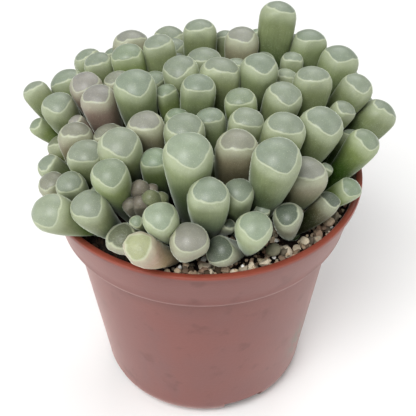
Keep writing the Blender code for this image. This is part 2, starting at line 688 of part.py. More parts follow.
def main():
    clear_scene()
    materials = {name: make_material(name, colour) for name, colour in COLOURS.items()}
    found = settle()
    make_pot(materials["pot"])
    make_soil(materials["soil"])
    make_grit(found, materials["grit"])
    for name, place in STONES.items():
        make_stone(name, place, materials["stone"])
    for name, toes in found.items():
        kind = "young" if name in YOUNG_HEADS else "fallen" if name == "fallen_toe" else "toe"
        make_head(name, toes, materials[kind])


main()
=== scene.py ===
"""Looks for the potted baby toes: a clump of windowed leaves in a terracotta-coloured nursery pot.

Lengths below are in millimetres unless a line says otherwise, and become metres when a mesh is
made.  X runs to the right, Y to the back and Z up.
"""
import math
import random

import bpy
import numpy as np
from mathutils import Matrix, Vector


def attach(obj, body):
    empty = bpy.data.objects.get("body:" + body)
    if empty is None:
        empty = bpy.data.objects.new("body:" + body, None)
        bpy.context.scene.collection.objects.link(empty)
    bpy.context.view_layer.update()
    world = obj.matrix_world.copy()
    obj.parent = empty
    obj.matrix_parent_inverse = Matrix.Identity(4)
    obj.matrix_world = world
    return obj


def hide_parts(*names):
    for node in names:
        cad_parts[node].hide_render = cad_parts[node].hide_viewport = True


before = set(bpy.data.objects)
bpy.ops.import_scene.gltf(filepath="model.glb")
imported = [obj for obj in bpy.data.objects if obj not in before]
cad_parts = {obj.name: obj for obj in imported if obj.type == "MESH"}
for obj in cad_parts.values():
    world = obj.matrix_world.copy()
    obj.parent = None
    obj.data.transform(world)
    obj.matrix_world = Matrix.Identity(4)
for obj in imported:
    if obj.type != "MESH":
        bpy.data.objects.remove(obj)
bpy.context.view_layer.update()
MM = 0.001

# ---- Sizes shared with the solid model ------------------------------------------------------

RIM_RADIUS = 45.0
POT_HEIGHT = 75.5
LIP_HEIGHT = 1.6
LIP_OVERHANG = 0.8
COLLAR_HEIGHT = 14.5
COLLAR_FOOT_RADIUS = 41.2
BODY_TOP_RADIUS = 38.4
BODY_FOOT_RADIUS = 30.6
FOOT_ROUNDING = 7.0
WALL = 1.2
FLOOR = 6.3
NOTCH_COUNT = 4
NOTCH_TURN = -66.0
NOTCH_WIDTH = 24.0
NOTCH_DEPTH = 5.5
NOTCH_INNER = 19.0
DRAIN_RADIUS = 3.0
DRAIN_REACH = 23.0
GAP = 0.3
SOIL_DROP = 4.0
SOIL_WAVE = 0.25
GRIT_DROP = 1.6
GRIT_BUMP = 0.7
GRIT_FROM = -104.0
GRIT_TO = -16.0
FOOT_SHARE = 0.40
MIDDLE_SHARE = 0.63
UPPER_SHARE = 0.89
TIP_LIFT = 0.40
BOW = 0.05
SETTLE_ROUNDS = 360
BUD_GATHER = 0.64
TOE_GAP = 0.22
CROWN_HEIGHT = 1.8


# Each head is one grown piece: the place of its crown, then its toes as (right, back, height
# above the rim, width, way the flat face looks in degrees, colouring).  0 degrees looks at the
# viewer in front, 90 to the right, 180 to the back.
HEADS = {
    # The left side of the clump.
    "head_01": ((-31, 7), [
        (-46, 9, 17, 7.8, 20, "sage"), (-39, 1, 18, 9.6, 200, "sage"),
        (-45, 5, 11, 5.5, 90, "fresh")]),
    "head_02": ((-24, 11), [(-38, 12, 19, 10.0, 0, "sage"), (-31, 6, 22, 9.4, 150, "rose")]),
    "head_03": ((-21, -1), [(-27, -5, 24, 9.9, 215, "rose"), (-33, -3, 18, 5.2, 60, "rose")]),
    "head_04": ((-22, 20), [
        (-29, 18, 21, 8.6, 0, "sage"), (-32, 27, 17, 8.6, 40, "sage"), (-27, 27, 19, 7.0, 0, "sage")]),
    "head_05": ((-14, 20), [(-20, 17, 24, 9.8, 0, "fresh"), (-21, 27, 22, 10.8, 30, "rosy")]),
    "head_06": ((-7, 17), [(-13, 16, 27, 9.2, 10, "sage"), (-7, 20, 22, 5.6, 0, "sage")]),
    "head_07": ((-14, 5), [
        (-17, -4, 28, 11.6, 200, "sage"), (-24, 8, 22, 8.2, 30, "tan"),
        (-12, 9, 22, 7.6, 60, "sage")]),
    # The back of the clump.
    "head_08": ((-2, 24), [
        (-3, 25, 27, 9.9, 0, "sage"), (-8, 30, 19, 8.6, 190, "sage"), (2, 32, 19, 9.0, 170, "sage")]),
    "head_09": ((8, 22), [
        (11, 24, 25, 10.0, 200, "rosy"), (6, 29, 23, 7.0, 0, "sage"), (17, 32, 22, 5.4, 0, "fresh")]),
    "head_10": ((16, 22), [
        (21, 27, 31, 10.6, 0, "sage"), (26, 27, 24, 6.2, 60, "sage"), (17, 17, 23, 6.8, 0, "sage")]),
    "head_11": ((-1, 10), [(1, 11, 26, 10.7, 0, "sage"), (-6, 5, 27, 10.0, 170, "sage")]),
    "head_12": ((-5, 1), [(-2, -6, 29, 9.5, 0, "sage"), (-10, -1, 25, 6.6, 30, "fresh")]),
    "head_13": ((4, 5), [(5, 2, 28, 11.6, 0, "sage"), (8, 14, 23, 8.0, 30, "sage")]),
    "head_14": ((10, 10), [(14, 6, 27, 10.8, 195, "sage"), (22, 9, 23, 6.8, 0, "pale")]),
    # The right side of the clump.
    "head_15": ((21, 17), [(30, 21, 25, 10.8, 20, "sage"), (26, 19, 22, 6.8, 0, "sage")]),
    "head_16": ((27, 10), [
        (37, 15, 24, 11.8, 160, "sage"), (41, 10, 19, 9.8, 190, "sage"),
        (30, 10, 20, 6.8, 0, "sage")]),
    "head_17": ((22, 2), [(30, 3, 24, 10.8, 10, "sage"), (37, 2, 18, 7.2, 30, "sage")]),
    "head_18": ((33, 2), [(48, 3, 15, 10.2, 10, "sage")]),
    "head_19": ((13, 1), [(20, -4, 25, 10.3, 190, "sage"), (11, -7, 26, 8.6, 0, "fresh")]),
    "head_20": ((21, -7), [(30, -14, 23, 12.0, 200, "sage")]),
    "head_21": ((31, -8), [(42, -10, 15, 8.9, 190, "fresh"), (41, -2, 10, 7.0, 90, "sage")]),
    # The left front.
    "head_22": ((-30, -9), [
        (-39, -15, 12, 7.2, 60, "sage"), (-33, -15, 19, 9.6, 10, "tan"),
        (-38, -7, 12, 7.8, 100, "olive")]),
    "head_23": ((-29, -16), [(-38, -22, 11, 7.6, 40, "tan"), (-32, -26, 12, 8.6, 0, "sage")]),
    "head_24": ((-21, -16), [(-29, -24, 19, 10.4, 350, "sage"), (-26, -27, 13, 4.8, 0, "sage")]),
    "head_25": ((-18, -8), [(-25, -13, 19, 8.8, 0, "tan"), (-20, -23, 23, 11.8, 205, "sage")]),
    "head_26": ((-17, -22), [(-20, -32, 22, 10.3, 195, "fresh")]),
    "head_27": ((-11, -16), [(-12, -26, 21, 8.0, 0, "fresh")]),
    "head_28": ((-10, -9), [(-14, -19, 25, 10.5, 350, "rosy"), (-7, -12, 24, 7.0, 0, "fresh")]),
    # The middle of the front.
    "head_29": ((-6, -21), [(-4, -32, 26, 12.6, 195, "pale"), (1, -25, 20, 6.6, 0, "sage")]),
    "head_30": ((-2, -11), [(-3, -21, 26, 10.8, 200, "sage")]),
    "head_31": ((2, -25), [(2, -36, 19, 10.4, 0, "sage"), (6, -38, 11, 3.6, 0, "dusk")]),
    "head_32": ((6, -10), [(3, -14, 25, 8.2, 0, "sage"), (11, -16, 25, 9.6, 0, "sage")]),
    "head_33": ((5, -17), [(7, -27, 26, 11.2, 5, "tan")]),
    "head_34": ((12, -20), [(16, -31, 25, 12.6, 200, "sage"), (15, -33, 12, 4.0, 0, "sage")]),
    "head_35": ((13, -13), [(19, -19, 26, 11.3, 0, "sage")]),
    "head_36": ((9, -25), [(10, -33, 18, 8.2, 190, "sage")]),
    "head_37": ((21, -19), [(26, -28, 17, 11.2, 10, "rosy"), (32, -17, 12, 3.9, 0, "sage")]),
    "head_38": ((27, -16), [(38, -21, 8, 7.0, 40, "fresh")]),
    "head_39": ((22, -25), [(31, -26, 9, 7.0, 70, "dusk"), (21, -33, 10, 8.0, 60, "dusk")]),
    # Along the front rim.
    "head_40": ((9, -31), [(11, -41, 12, 9.4, 185, "pale"), (5, -41, 7, 8.4, 130, "dusk")]),
    "head_41": ((-3, -29), [(-3, -41, 11, 10.0, 20, "rosy")]),
    "head_42": ((-9, -28), [(-10, -42, 14, 9.5, 190, "pale")]),
    "head_43": ((-15, -31), [(-20, -37, 7, 9.0, 340, "withered")]),
    "head_44": ((-19, -27), [(-26, -35, 14, 9.8, 215, "sage")]),
    "head_50": ((-28, -23), [(-36, -31, 10, 10.8, 190, "pale")]),
    # The back rim, which the taller toes hide from the front.
    "head_45": ((-28, 24), [
        (-33, 33, 12, 9.6, 200, "sage"), (-40, 22, 11, 8.8, 150, "sage"),
        (-26, 36, 12, 8.8, 190, "fresh"), (-42, 14, 9, 7.6, 120, "sage")]),
    "head_46": ((-12, 31), [
        (-12, 38, 16, 10.2, 180, "sage"), (-19, 38, 13, 9.6, 200, "rosy"),
        (-8, 43, 8, 8.4, 170, "fresh"), (-17, 32, 17, 7.6, 200, "sage")]),
    "head_47": ((4, 33), [
        (1, 41, 12, 9.8, 190, "sage"), (9, 42, 9, 9.2, 180, "fresh"), (11, 36, 17, 9.0, 200, "sage")]),
    "head_48": ((21, 30), [
        (22, 36, 18, 10.2, 170, "sage"), (19, 42, 9, 9.4, 180, "pale"),
        (30, 34, 14, 10.0, 150, "sage")]),
    "head_49": ((32, 19), [
        (41, 24, 12, 10.0, 140, "fresh"), (34, 28, 17, 9.0, 160, "sage"),
        (45, 16, 9, 8.8, 120, "sage")]),
    # A young head, whose toes are still buds, and a toe that lies on the rim.
    "young_head": ((-12, -26), [
        (-17, -31, 17, 4.6, 0, "bud"), (-13, -31, 17, 3.8, 90, "bud"),
        (-18, -33, 14, 3.8, 20, "bud"), (-15, -34, 12, 4.6, 0, "bud"),
        (-12, -33, 14, 4.8, 330, "leaf_bud"), (-9, -32, 15, 3.6, 300, "leaf_bud"),
        (-17, -37, 12, 3.6, 330, "fresh")]),
    "fallen_toe": ((-7, -38), [(-15, -42, 6, 9.0, 300, "fallen")]),
}

# Loose stones on the grit: right, back, length, width, height, turn.
STONES = {
    "stone_1": (33.3, -24.3, 3.2, 2.6, 2.4, 20),
    "stone_2": (18, -35, 4.6, 3.8, 2.8, 70),
    "stone_3": (26.3, -31.5, 2.8, 2.4, 2.2, 120),
    "stone_4": (36, -14, 4.2, 3.4, 2.6, 150),
}

# ---- Laying out the toes --------------------------------------------------------------------

STATIONS = np.linspace(0.0, 1.0, 13)
# The way from the clump to a viewer in front and above, and how strongly a round draws toes
# back across it and along it, and crowns back to their places.
SIGHT = np.array([0.0, -0.7524, 0.6587])
PULLS = (0.06, 0.014, 0.02)
PULLS_AT_LAST = (0.012, 0.003, 0.001)
CROWNS = {}


def swell(t):
    """How wide a toe is at t, from its foot (0) to its widest place (1), as a share."""
    return np.interp(t, [0.0, 0.32, 0.64, 1.0], [FOOT_SHARE, MIDDLE_SHARE, UPPER_SHARE, 1.0])


def soil_top():
    return POT_HEIGHT - SOIL_DROP


def foot_points(crowns, tips, radii, head_of, alone):
    """Where each toe leaves its crown: a little way out towards its own tip."""
    feet = np.zeros((len(tips), 3))
    feet[:, :2] = crowns[head_of]
    feet[:, 2] = soil_top() + SOIL_WAVE + GAP
    out = tips[:, :2] - feet[:, :2]
    length = np.maximum(np.linalg.norm(out, axis=1), 1e-6)
    step = np.where(alone, 0.0, 0.6 * FOOT_SHARE * radii)
    feet[:, :2] += out / length[:, None] * step[:, None]
    feet[:, 2] += np.where(alone, 0.0, 0.5 * CROWN_HEIGHT)
    return feet


def measure(crowns, tips, radii, head_of, alone):
    """The toes as rows of balls: their middles and sizes, the first one being the crown."""
    points = axis_points(foot_points(crowns, tips, radii, head_of, alone), tips, STATIONS)
    widths = radii[:, None] * swell(STATIONS)[None, :]
    crown_width = np.zeros(len(crowns))
    np.maximum.at(crown_width, head_of, 1.6 * FOOT_SHARE * radii + 0.2)
    points[~alone, 0, :2] = crowns[head_of[~alone]]
    widths[~alone, 0] = crown_width[head_of[~alone]]
    return points, widths


def axis_points(feet, tips, t):
    """Points along the toes' axes, which bow a little outwards."""
    t = np.asarray(t)[None, :, None]
    line = feet[:, None, :] * (1.0 - t) + tips[:, None, :] * t
    out = tips - feet
    out[:, 2] = 0.0
    return line + out[:, None, :] * (4.0 * t * (1.0 - t) * BOW)


def settle():
    """Moves the toes apart until those of different heads keep a gap, and clear the pot."""
    heads = HEADS
    crowns = np.array([entry[0] for entry in heads.values()], float)
    toes = [(n, toe) for n, entry in enumerate(heads.values()) for toe in entry[1]]
    head_of = np.array([n for n, toe in toes])
    tips = np.array([toe[:3] for n, toe in toes], float)
    tips[:, 2] += POT_HEIGHT
    radii = np.array([toe[3] / 2.0 for n, toe in toes])
    turns = np.array([toe[4] for n, toe in toes], float)
    alone = np.array([np.sum(head_of == n) == 1 for n in head_of])
    wanted_tips, wanted_crowns = tips.copy(), crowns.copy()
    first, second = np.triu_indices(len(toes), 1)
    near = np.linalg.norm(tips[first] - tips[second], axis=1) < 30.0
    first, second = first[near], second[near]
    kin = head_of[first] == head_of[second]
    for turn in range(SETTLE_ROUNDS):
        last = turn > SETTLE_ROUNDS * 0.75
        moved_tips, moved_crowns = np.zeros_like(tips), np.zeros_like(crowns)
        points, widths = measure(crowns, tips, radii, head_of, alone)
        push_apart(points, widths, first, second, kin, head_of, moved_tips, moved_crowns, radii, last)
        clear_the_pot(points, widths, head_of, moved_tips, moved_crowns)
        pulls = PULLS_AT_LAST if last else PULLS
        tips += 0.5 * moved_tips + pull_back(tips, wanted_tips, *pulls[:2])
        crowns += 0.4 * moved_crowns + pulls[2] * (wanted_crowns - crowns)
    slim_down(crowns, tips, radii, head_of, alone, first, second, kin)
    feet = foot_points(crowns, tips, radii, head_of, alone)
    found = {name: [] for name in heads}
    names = list(heads)
    CROWNS.update({name: tuple(crown) for name, crown in zip(names, crowns)})
    for n in range(len(toes)):
        found[names[head_of[n]]].append((feet[n], tips[n], radii[n], turns[n]))
    found["young_head"] = gather_buds(found["young_head"])
    return found


def gather_buds(toes):
    """Draws the young head's buds in towards their middle.  Its last toe is grown, and stays."""
    middle = sum(tip for foot, tip, radius, turn in toes[:-1]) / (len(toes) - 1)
    buds = [(foot, middle + BUD_GATHER * (tip - middle), radius, turn)
            for foot, tip, radius, turn in toes[:-1]]
    return buds + toes[-1:]


def pull_back(tips, wanted, across, along):
    """Draws the toes back to their places, but less so along the way the clump is seen."""
    off = wanted - tips
    deep = (off @ SIGHT)[:, None] * SIGHT
    return across * (off - deep) + along * deep


def slim_down(crowns, tips, radii, head_of, alone, first, second, kin):
    """Narrows the toes that still crowd each other once they have stopped moving."""
    other = np.nonzero(~kin)[0]
    first, second = first[other], second[other]
    for turn in range(60):
        points, widths = measure(crowns, tips, radii, head_of, alone)
        far = np.linalg.norm(points[first][:, :, None, :] - points[second][:, None, :, :], axis=3)
        need = widths[first][:, :, None] + widths[second][:, None, :] + TOE_GAP - 0.06 - far
        amount = need.reshape(len(first), -1).max(axis=1)
        if amount.max() <= 0.0:
            return
        for k in np.nonzero(amount > 0.0)[0]:
            radii[first[k]] -= 0.3 * amount[k]
            radii[second[k]] -= 0.3 * amount[k]


def push_apart(points, widths, first, second, kin, head_of, moved_tips, moved_crowns, radii, last):
    """Adds the moves that part each pair of toes at the place where they are closest."""
    between = points[first][:, :, None, :] - points[second][:, None, :, :]
    far = np.linalg.norm(between, axis=3)
    need = widths[first][:, :, None] + widths[second][:, None, :] + TOE_GAP - far
    low = STATIONS < 0.6
    same = kin[:, None, None] & (low[None, :, None] | low[None, None, :])
    need = np.where(same, -1.0, need)
    flat = need.reshape(len(first), -1)
    worst = flat.argmax(axis=1)
    amount = flat[np.arange(len(first)), worst]
    for k in np.nonzero(amount > 0.0)[0]:
        a, b = divmod(worst[k], len(STATIONS))
        way = between[k, a, b] / max(far[k, a, b], 1e-6)
        for toe, at, sign in ((first[k], a, 1.0), (second[k], b, -1.0)):
            t = STATIONS[at]
            share = 1.0 / (t * t + (1.0 - t) ** 2)
            step = way * sign * amount[k] * 0.5 * share
            moved_tips[toe] += step * t
            moved_crowns[head_of[toe]] += step[:2] * (1.0 - t)
            if last and amount[k] > 0.05:
                radii[toe] *= 1.0 - min(0.02, 0.1 * amount[k] / radii[toe])


def clear_the_pot(points, widths, head_of, moved_tips, moved_crowns):
    """Adds the moves that keep toes inside the rim, above it, and off the soil."""
    middle = RIM_RADIUS - WALL * 0.7
    reach = np.linalg.norm(points[:, :, :2], axis=2)
    over = np.stack([reach - middle, points[:, :, 2] - POT_HEIGHT], axis=2)
    inside = over[:, :, 1] < 0.0
    over[:, :, 1] = np.where(inside, 0.0, over[:, :, 1])
    over[:, :, 0] = np.where(inside, np.minimum(over[:, :, 0], -0.01), over[:, :, 0])
    far = np.linalg.norm(over, axis=2)
    need = widths + WALL * 0.7 + TOE_GAP + 0.25 - far
    for toe, at in zip(*np.nonzero(need > 0.0)):
        t = STATIONS[at]
        in_plane = over[toe, at] / max(far[toe, at], 1e-6)
        out = points[toe, at, :2] / max(reach[toe, at], 1e-6)
        step = np.array([out[0] * in_plane[0], out[1] * in_plane[0], in_plane[1]]) * need[toe, at]
        share = 0.5 / (t * t + (1.0 - t) ** 2)
        moved_tips[toe] += step * t * share
        moved_crowns[head_of[toe]] += step[:2] * (1.0 - t) * share
    floor = soil_top() + SOIL_WAVE + GAP
    low = floor + widths - points[:, :, 2]
    low[:, STATIONS < 0.3] = 0.0
    moved_tips[:, 2] += np.maximum(low.max(axis=1), 0.0)


# ---- Colours and finishes -------------------------------------------------------------------

def shade_of(red, green, blue):
    """A colour as the eye reads it, each part 0 to 255, as the numbers a shader takes."""
    parts = []
    for part in (red, green, blue):
        share = part / 255.0
        parts.append(share / 12.92 if share < 0.04045 else ((share + 0.055) / 1.055) ** 2.4)
    return (*parts, 1.0)


# A toe's colourings: its window, its side below the window's line, its side at the foot.  The foot colour is
# partly the leaf's own deeper green and partly painted shade, darkened for the dim gaps low among the toes.
TINTS = {
    "sage": ((129, 139, 121), (128, 138, 98), (44, 68, 12)),
    "fresh": ((128, 141, 118), (128, 143, 86), (44, 74, 8)),
    "pale": ((142, 153, 131), (148, 158, 118), (74, 100, 28)),
    "rosy": ((136, 137, 126), (140, 134, 110), (64, 72, 28)),
    "rose": ((140, 137, 130), (142, 121, 110), (72, 56, 42)),
    "tan": ((130, 132, 117), (132, 124, 100), (70, 68, 28)),
    "olive": ((112, 118, 93), (104, 109, 64), (46, 58, 14)),
    "dusk": ((88, 97, 83), (98, 94, 70), (38, 44, 16)),
    "withered": ((104, 108, 86), (140, 129, 104), (90, 78, 54)),
    "fallen": ((160, 165, 128), (184, 158, 138), (160, 138, 98)),
    "bud": ((118, 116, 102), (112, 106, 94), (60, 62, 40)),
    "leaf_bud": ((120, 124, 102), (108, 114, 84), (56, 72, 34)),
}
CREAM_LINE = (200, 206, 178)
FROST = (176, 184, 160)

GRAIN_TINTS = [(214, 196, 166), (198, 178, 150), (176, 154, 130), (150, 128, 108), (206, 192, 168),
               (166, 154, 134), (222, 208, 184), (132, 120, 104), (188, 164, 138), (112, 104, 88),
               (92, 76, 60), (178, 148, 126)]
PERLITE_TINT = (238, 238, 232)
BARK_TINTS = [(58, 42, 32), (44, 34, 28), (34, 28, 24), (72, 52, 38)]


def put(tree, kind, column, row, **settings):
    """Adds a node to a node tree, laid out in columns and rows."""
    node = tree.nodes.new("ShaderNode" + kind)
    node.location = (220 * column, -190 * row)
    for name, value in settings.items():
        setattr(node, name, value)
    return node


def feed(tree, node, **sources):
    """Sets a node's inputs, each from a number, a colour or another node's output."""
    for name, source in sources.items():
        label = name.replace("_", " ")
        socket = node.inputs[int(name[1:])] if name[0] == "n" and name[1:].isdigit() else node.inputs[label]
        if isinstance(source, bpy.types.NodeSocket):
            tree.links.new(source, socket)
        else:
            socket.default_value = source
    return node


def sums(tree, what, first, second, column, row):
    """One step of arithmetic on two numbers."""
    node = put(tree, "Math", column, row, operation=what)
    return feed(tree, node, n0=first, n1=second).outputs[0]


def blend_of(tree, share, first, second, column, row, how="MIX"):
    """A mix of two colours."""
    node = put(tree, "Mix", column, row, data_type="RGBA", blend_type=how)
    return feed(tree, node, n0=share, n6=first, n7=second).outputs[2]


def step_of(tree, value, low, high, column, row):
    """0 below low, 1 above high, and smooth between them."""
    node = put(tree, "MapRange", column, row, interpolation_type="SMOOTHSTEP")
    return feed(tree, node, Value=value, From_Min=low, From_Max=high).outputs[0]


def noise_of(tree, vector, scale, detail, column, row):
    node = put(tree, "TexNoise", column, row)
    return feed(tree, node, Vector=vector, Scale=scale, Detail=detail).outputs["Fac"]


def own(tree, name, column, row):
    """A value that the piece's own mesh carries."""
    return put(tree, "Attribute", column, row, attribute_name=name)


def new_group(name, inputs, outputs):
    """An empty node group with named sockets."""
    group = bpy.data.node_groups.new(name, "ShaderNodeTree")
    for label, kind, value in inputs:
        socket = group.interface.new_socket(label, in_out="INPUT", socket_type="NodeSocket" + kind)
        if value is not None:
            socket.default_value = value
    for label, kind in outputs:
        group.interface.new_socket(label, in_out="OUTPUT", socket_type="NodeSocket" + kind)
    start = group.nodes.new("NodeGroupInput")
    start.location = (-300, 0)
    end = group.nodes.new("NodeGroupOutput")
    end.location = (1800, 0)
    return group, start, end


def use_group(tree, group, column, row, **sources):
    node = put(tree, "Group", column, row, node_tree=group)
    return feed(tree, node, **sources)


def make_mottle_group():
    """Soft uneven lightness: a wide mottling with fine specks over it."""
    group, start, end = new_group(
        "mottle",
        [("Vector", "Vector", None), ("Patch", "Float", 1.0), ("Speck", "Float", 6.0),
         ("Depth", "Float", 0.2)],
        [("Lightness", "Float"), ("Specks", "Float")])
    patch = noise_of(group, start.outputs["Vector"], start.outputs["Patch"], 3.0, 0, 0)
    fine = noise_of(group, start.outputs["Vector"], start.outputs["Speck"], 2.0, 0, 1)
    specks = step_of(group, fine, 0.58, 0.72, 1, 1)
    both = sums(group, "ADD", sums(group, "MULTIPLY", patch, 0.7, 1, 0),
                sums(group, "MULTIPLY", fine, 0.3, 1, 2), 2, 0)
    spread = sums(group, "MULTIPLY", sums(group, "SUBTRACT", both, 0.5, 3, 0), 2.0, 4, 0)
    light = sums(group, "MULTIPLY", spread, start.outputs["Depth"], 5, 0)
    group.links.new(sums(group, "ADD", light, 1.0, 6, 0), end.inputs["Lightness"])
    group.links.new(specks, end.inputs["Specks"])
    return group


def make_toned_group():
    """A colour made lighter or darker by a lightness around 1."""
    group, start, end = new_group(
        "toned", [("Colour", "Color", None), ("Lightness", "Float", 1.0)], [("Colour", "Color")])
    node = put(group, "VectorMath", 0, 0, operation="SCALE")
    feed(group, node, n0=start.outputs["Colour"], Scale=start.outputs["Lightness"])
    group.links.new(node.outputs[0], end.inputs["Colour"])
    return group


def make_window_line_group():
    """Masks for a toe: its window, and the raised line round it, which wavers a little."""
    group, start, end = new_group(
        "window line",
        [("Gap", "Float", 0.0), ("Vector", "Vector", None), ("Width", "Float", 0.3)],
        [("Window", "Float"), ("Line", "Float")])
    waver = noise_of(group, start.outputs["Vector"], 1.3, 3.0, 0, 0)
    shift = sums(group, "MULTIPLY", sums(group, "SUBTRACT", waver, 0.5, 1, 0), 0.2, 2, 0)
    gap = sums(group, "ADD", start.outputs["Gap"], shift, 3, 0)
    window = step_of(group, gap, 0.0, 0.22, 4, 0)
    far = sums(group, "ABSOLUTE", gap, 0.0, 4, 1)
    share = sums(group, "DIVIDE", far, start.outputs["Width"], 5, 1)
    fine = noise_of(group, start.outputs["Vector"], 2.6, 2.0, 3, 3)
    strength = step_of(group, fine, 0.25, 0.55, 4, 3)
    close = sums(group, "SUBTRACT", 1.0, step_of(group, share, 0.15, 1.0, 6, 1), 7, 1)
    part = sums(group, "MULTIPLY", close, sums(group, "ADD", sums(
        group, "MULTIPLY", strength, 0.4, 5, 3), 0.6, 6, 3), 8, 1)
    group.links.new(window, end.inputs["Window"])
    group.links.new(part, end.inputs["Line"])
    return group


def new_material(name, **uniform):
    """A material whose uniform values sit on the shader's own sockets."""
    material = bpy.data.materials.new(name)
    material.use_nodes = True
    tree = material.node_tree
    shader = tree.nodes["Principled BSDF"]
    shader.location = (2200, 0)
    tree.nodes["Material Output"].location = (2500, 0)
    feed(tree, shader, **uniform)
    return material, tree, shader


def bump_of(tree, height, distance, strength, column, row):
    node = put(tree, "Bump", column, row)
    return feed(tree, node, Height=height, Distance=distance, Strength=strength).outputs["Normal"]


def make_toe_material(groups, name, wither):
    """Waxy leaf flesh: a frosted window, a cream line and sides that deepen to the foot, partly in their own
    green and partly in painted shade.
    """
    material, tree, shader = new_material(
        name, Specular_IOR_Level=0.42, Sheen_Weight=0.8, Sheen_Roughness=0.24,
        Sheen_Tint=shade_of(226, 236, 220), Subsurface_Weight=0.12,
        Subsurface_Radius=(1.0, 0.9, 0.45), Subsurface_Scale=0.0016)
    skin = own(tree, "skin", 0, 4).outputs["Vector"]
    gap = own(tree, "line_gap", 0, 0).outputs["Fac"]
    rise = own(tree, "rise", 0, 1).outputs["Fac"]
    window_tint = own(tree, "window_tint", 0, 2).outputs["Color"]
    side_tint = own(tree, "side_tint", 0, 3).outputs["Color"]
    foot_tint = own(tree, "foot_tint", 1, 3).outputs["Color"]
    drawn = feed(tree, put(tree, "Mapping", 1, 4), Vector=skin, Scale=(1.0, 1.0, 0.1))
    streaks = noise_of(tree, drawn.outputs[0], 2.1, 3.0, 2, 4)
    masks = use_group(tree, groups["line"], 1, 0, Gap=gap, Vector=skin, Width=0.25 + 0.12 * wither)
    mottle = use_group(tree, groups["mottle"], 2, 5, Vector=skin, Patch=0.42, Speck=4.6, Depth=0.26)
    climb = sums(tree, "ADD", rise, sums(tree, "MULTIPLY", sums(
        tree, "SUBTRACT", streaks, 0.5, 3, 4), 0.16, 4, 4), 5, 4)
    # Lower down, the side turns to the foot colour: partly the leaf's own deeper green, partly painted shade
    # for the dim gaps between the toes near the soil.
    side = blend_of(tree, step_of(tree, climb, 0.44, 0.98, 6, 4), foot_tint, side_tint, 7, 3)
    frost = sums(tree, "MULTIPLY", step_of(tree, gap, -4.2, -0.1, 6, 3), 0.5, 7, 4)
    frosted = blend_of(tree, frost, side, shade_of(*FROST), 8, 3)
    flesh = blend_of(tree, masks.outputs["Window"], frosted, window_tint, 9, 3)
    toned = use_group(tree, groups["toned"], 9, 2, Colour=flesh, Lightness=mottle.outputs["Lightness"])
    dotted = blend_of(tree, sums(tree, "MULTIPLY", mottle.outputs["Specks"], 0.34, 8, 5),
                      toned.outputs[0], shade_of(190, 196, 172), 10, 2)
    cream = blend_of(tree, 0.3, shade_of(*CREAM_LINE), window_tint, 9, 4)
    lined = blend_of(tree, sums(tree, "MULTIPLY", masks.outputs["Line"], 0.78, 9, 0),
                     dotted, cream, 11, 1)
    crinkle = noise_of(tree, feed(tree, put(tree, "Mapping", 6, 7), Vector=skin,
                                  Scale=(0.9, 0.9, 0.35)).outputs[0], 1.9, 4.0, 7, 7)
    rough = sums(tree, "ADD", sums(tree, "MULTIPLY", masks.outputs["Window"], -0.07, 9, 6), 0.47, 10, 6)
    height = sums(tree, "ADD", sums(tree, "MULTIPLY", streaks, 0.10, 8, 8), sums(
        tree, "ADD", sums(tree, "MULTIPLY", masks.outputs["Line"], 0.5, 8, 6),
        sums(tree, "MULTIPLY", crinkle, 0.22 + 1.4 * wither, 8, 7), 9, 7), 10, 7)
    feed(tree, shader, Base_Color=lined,
         Roughness=sums(tree, "ADD", rough, sums(
             tree, "MULTIPLY", mottle.outputs["Specks"], 0.12, 10, 5), 11, 6),
         Normal=bump_of(tree, height, 0.00022, 0.55, 11, 7))
    return material


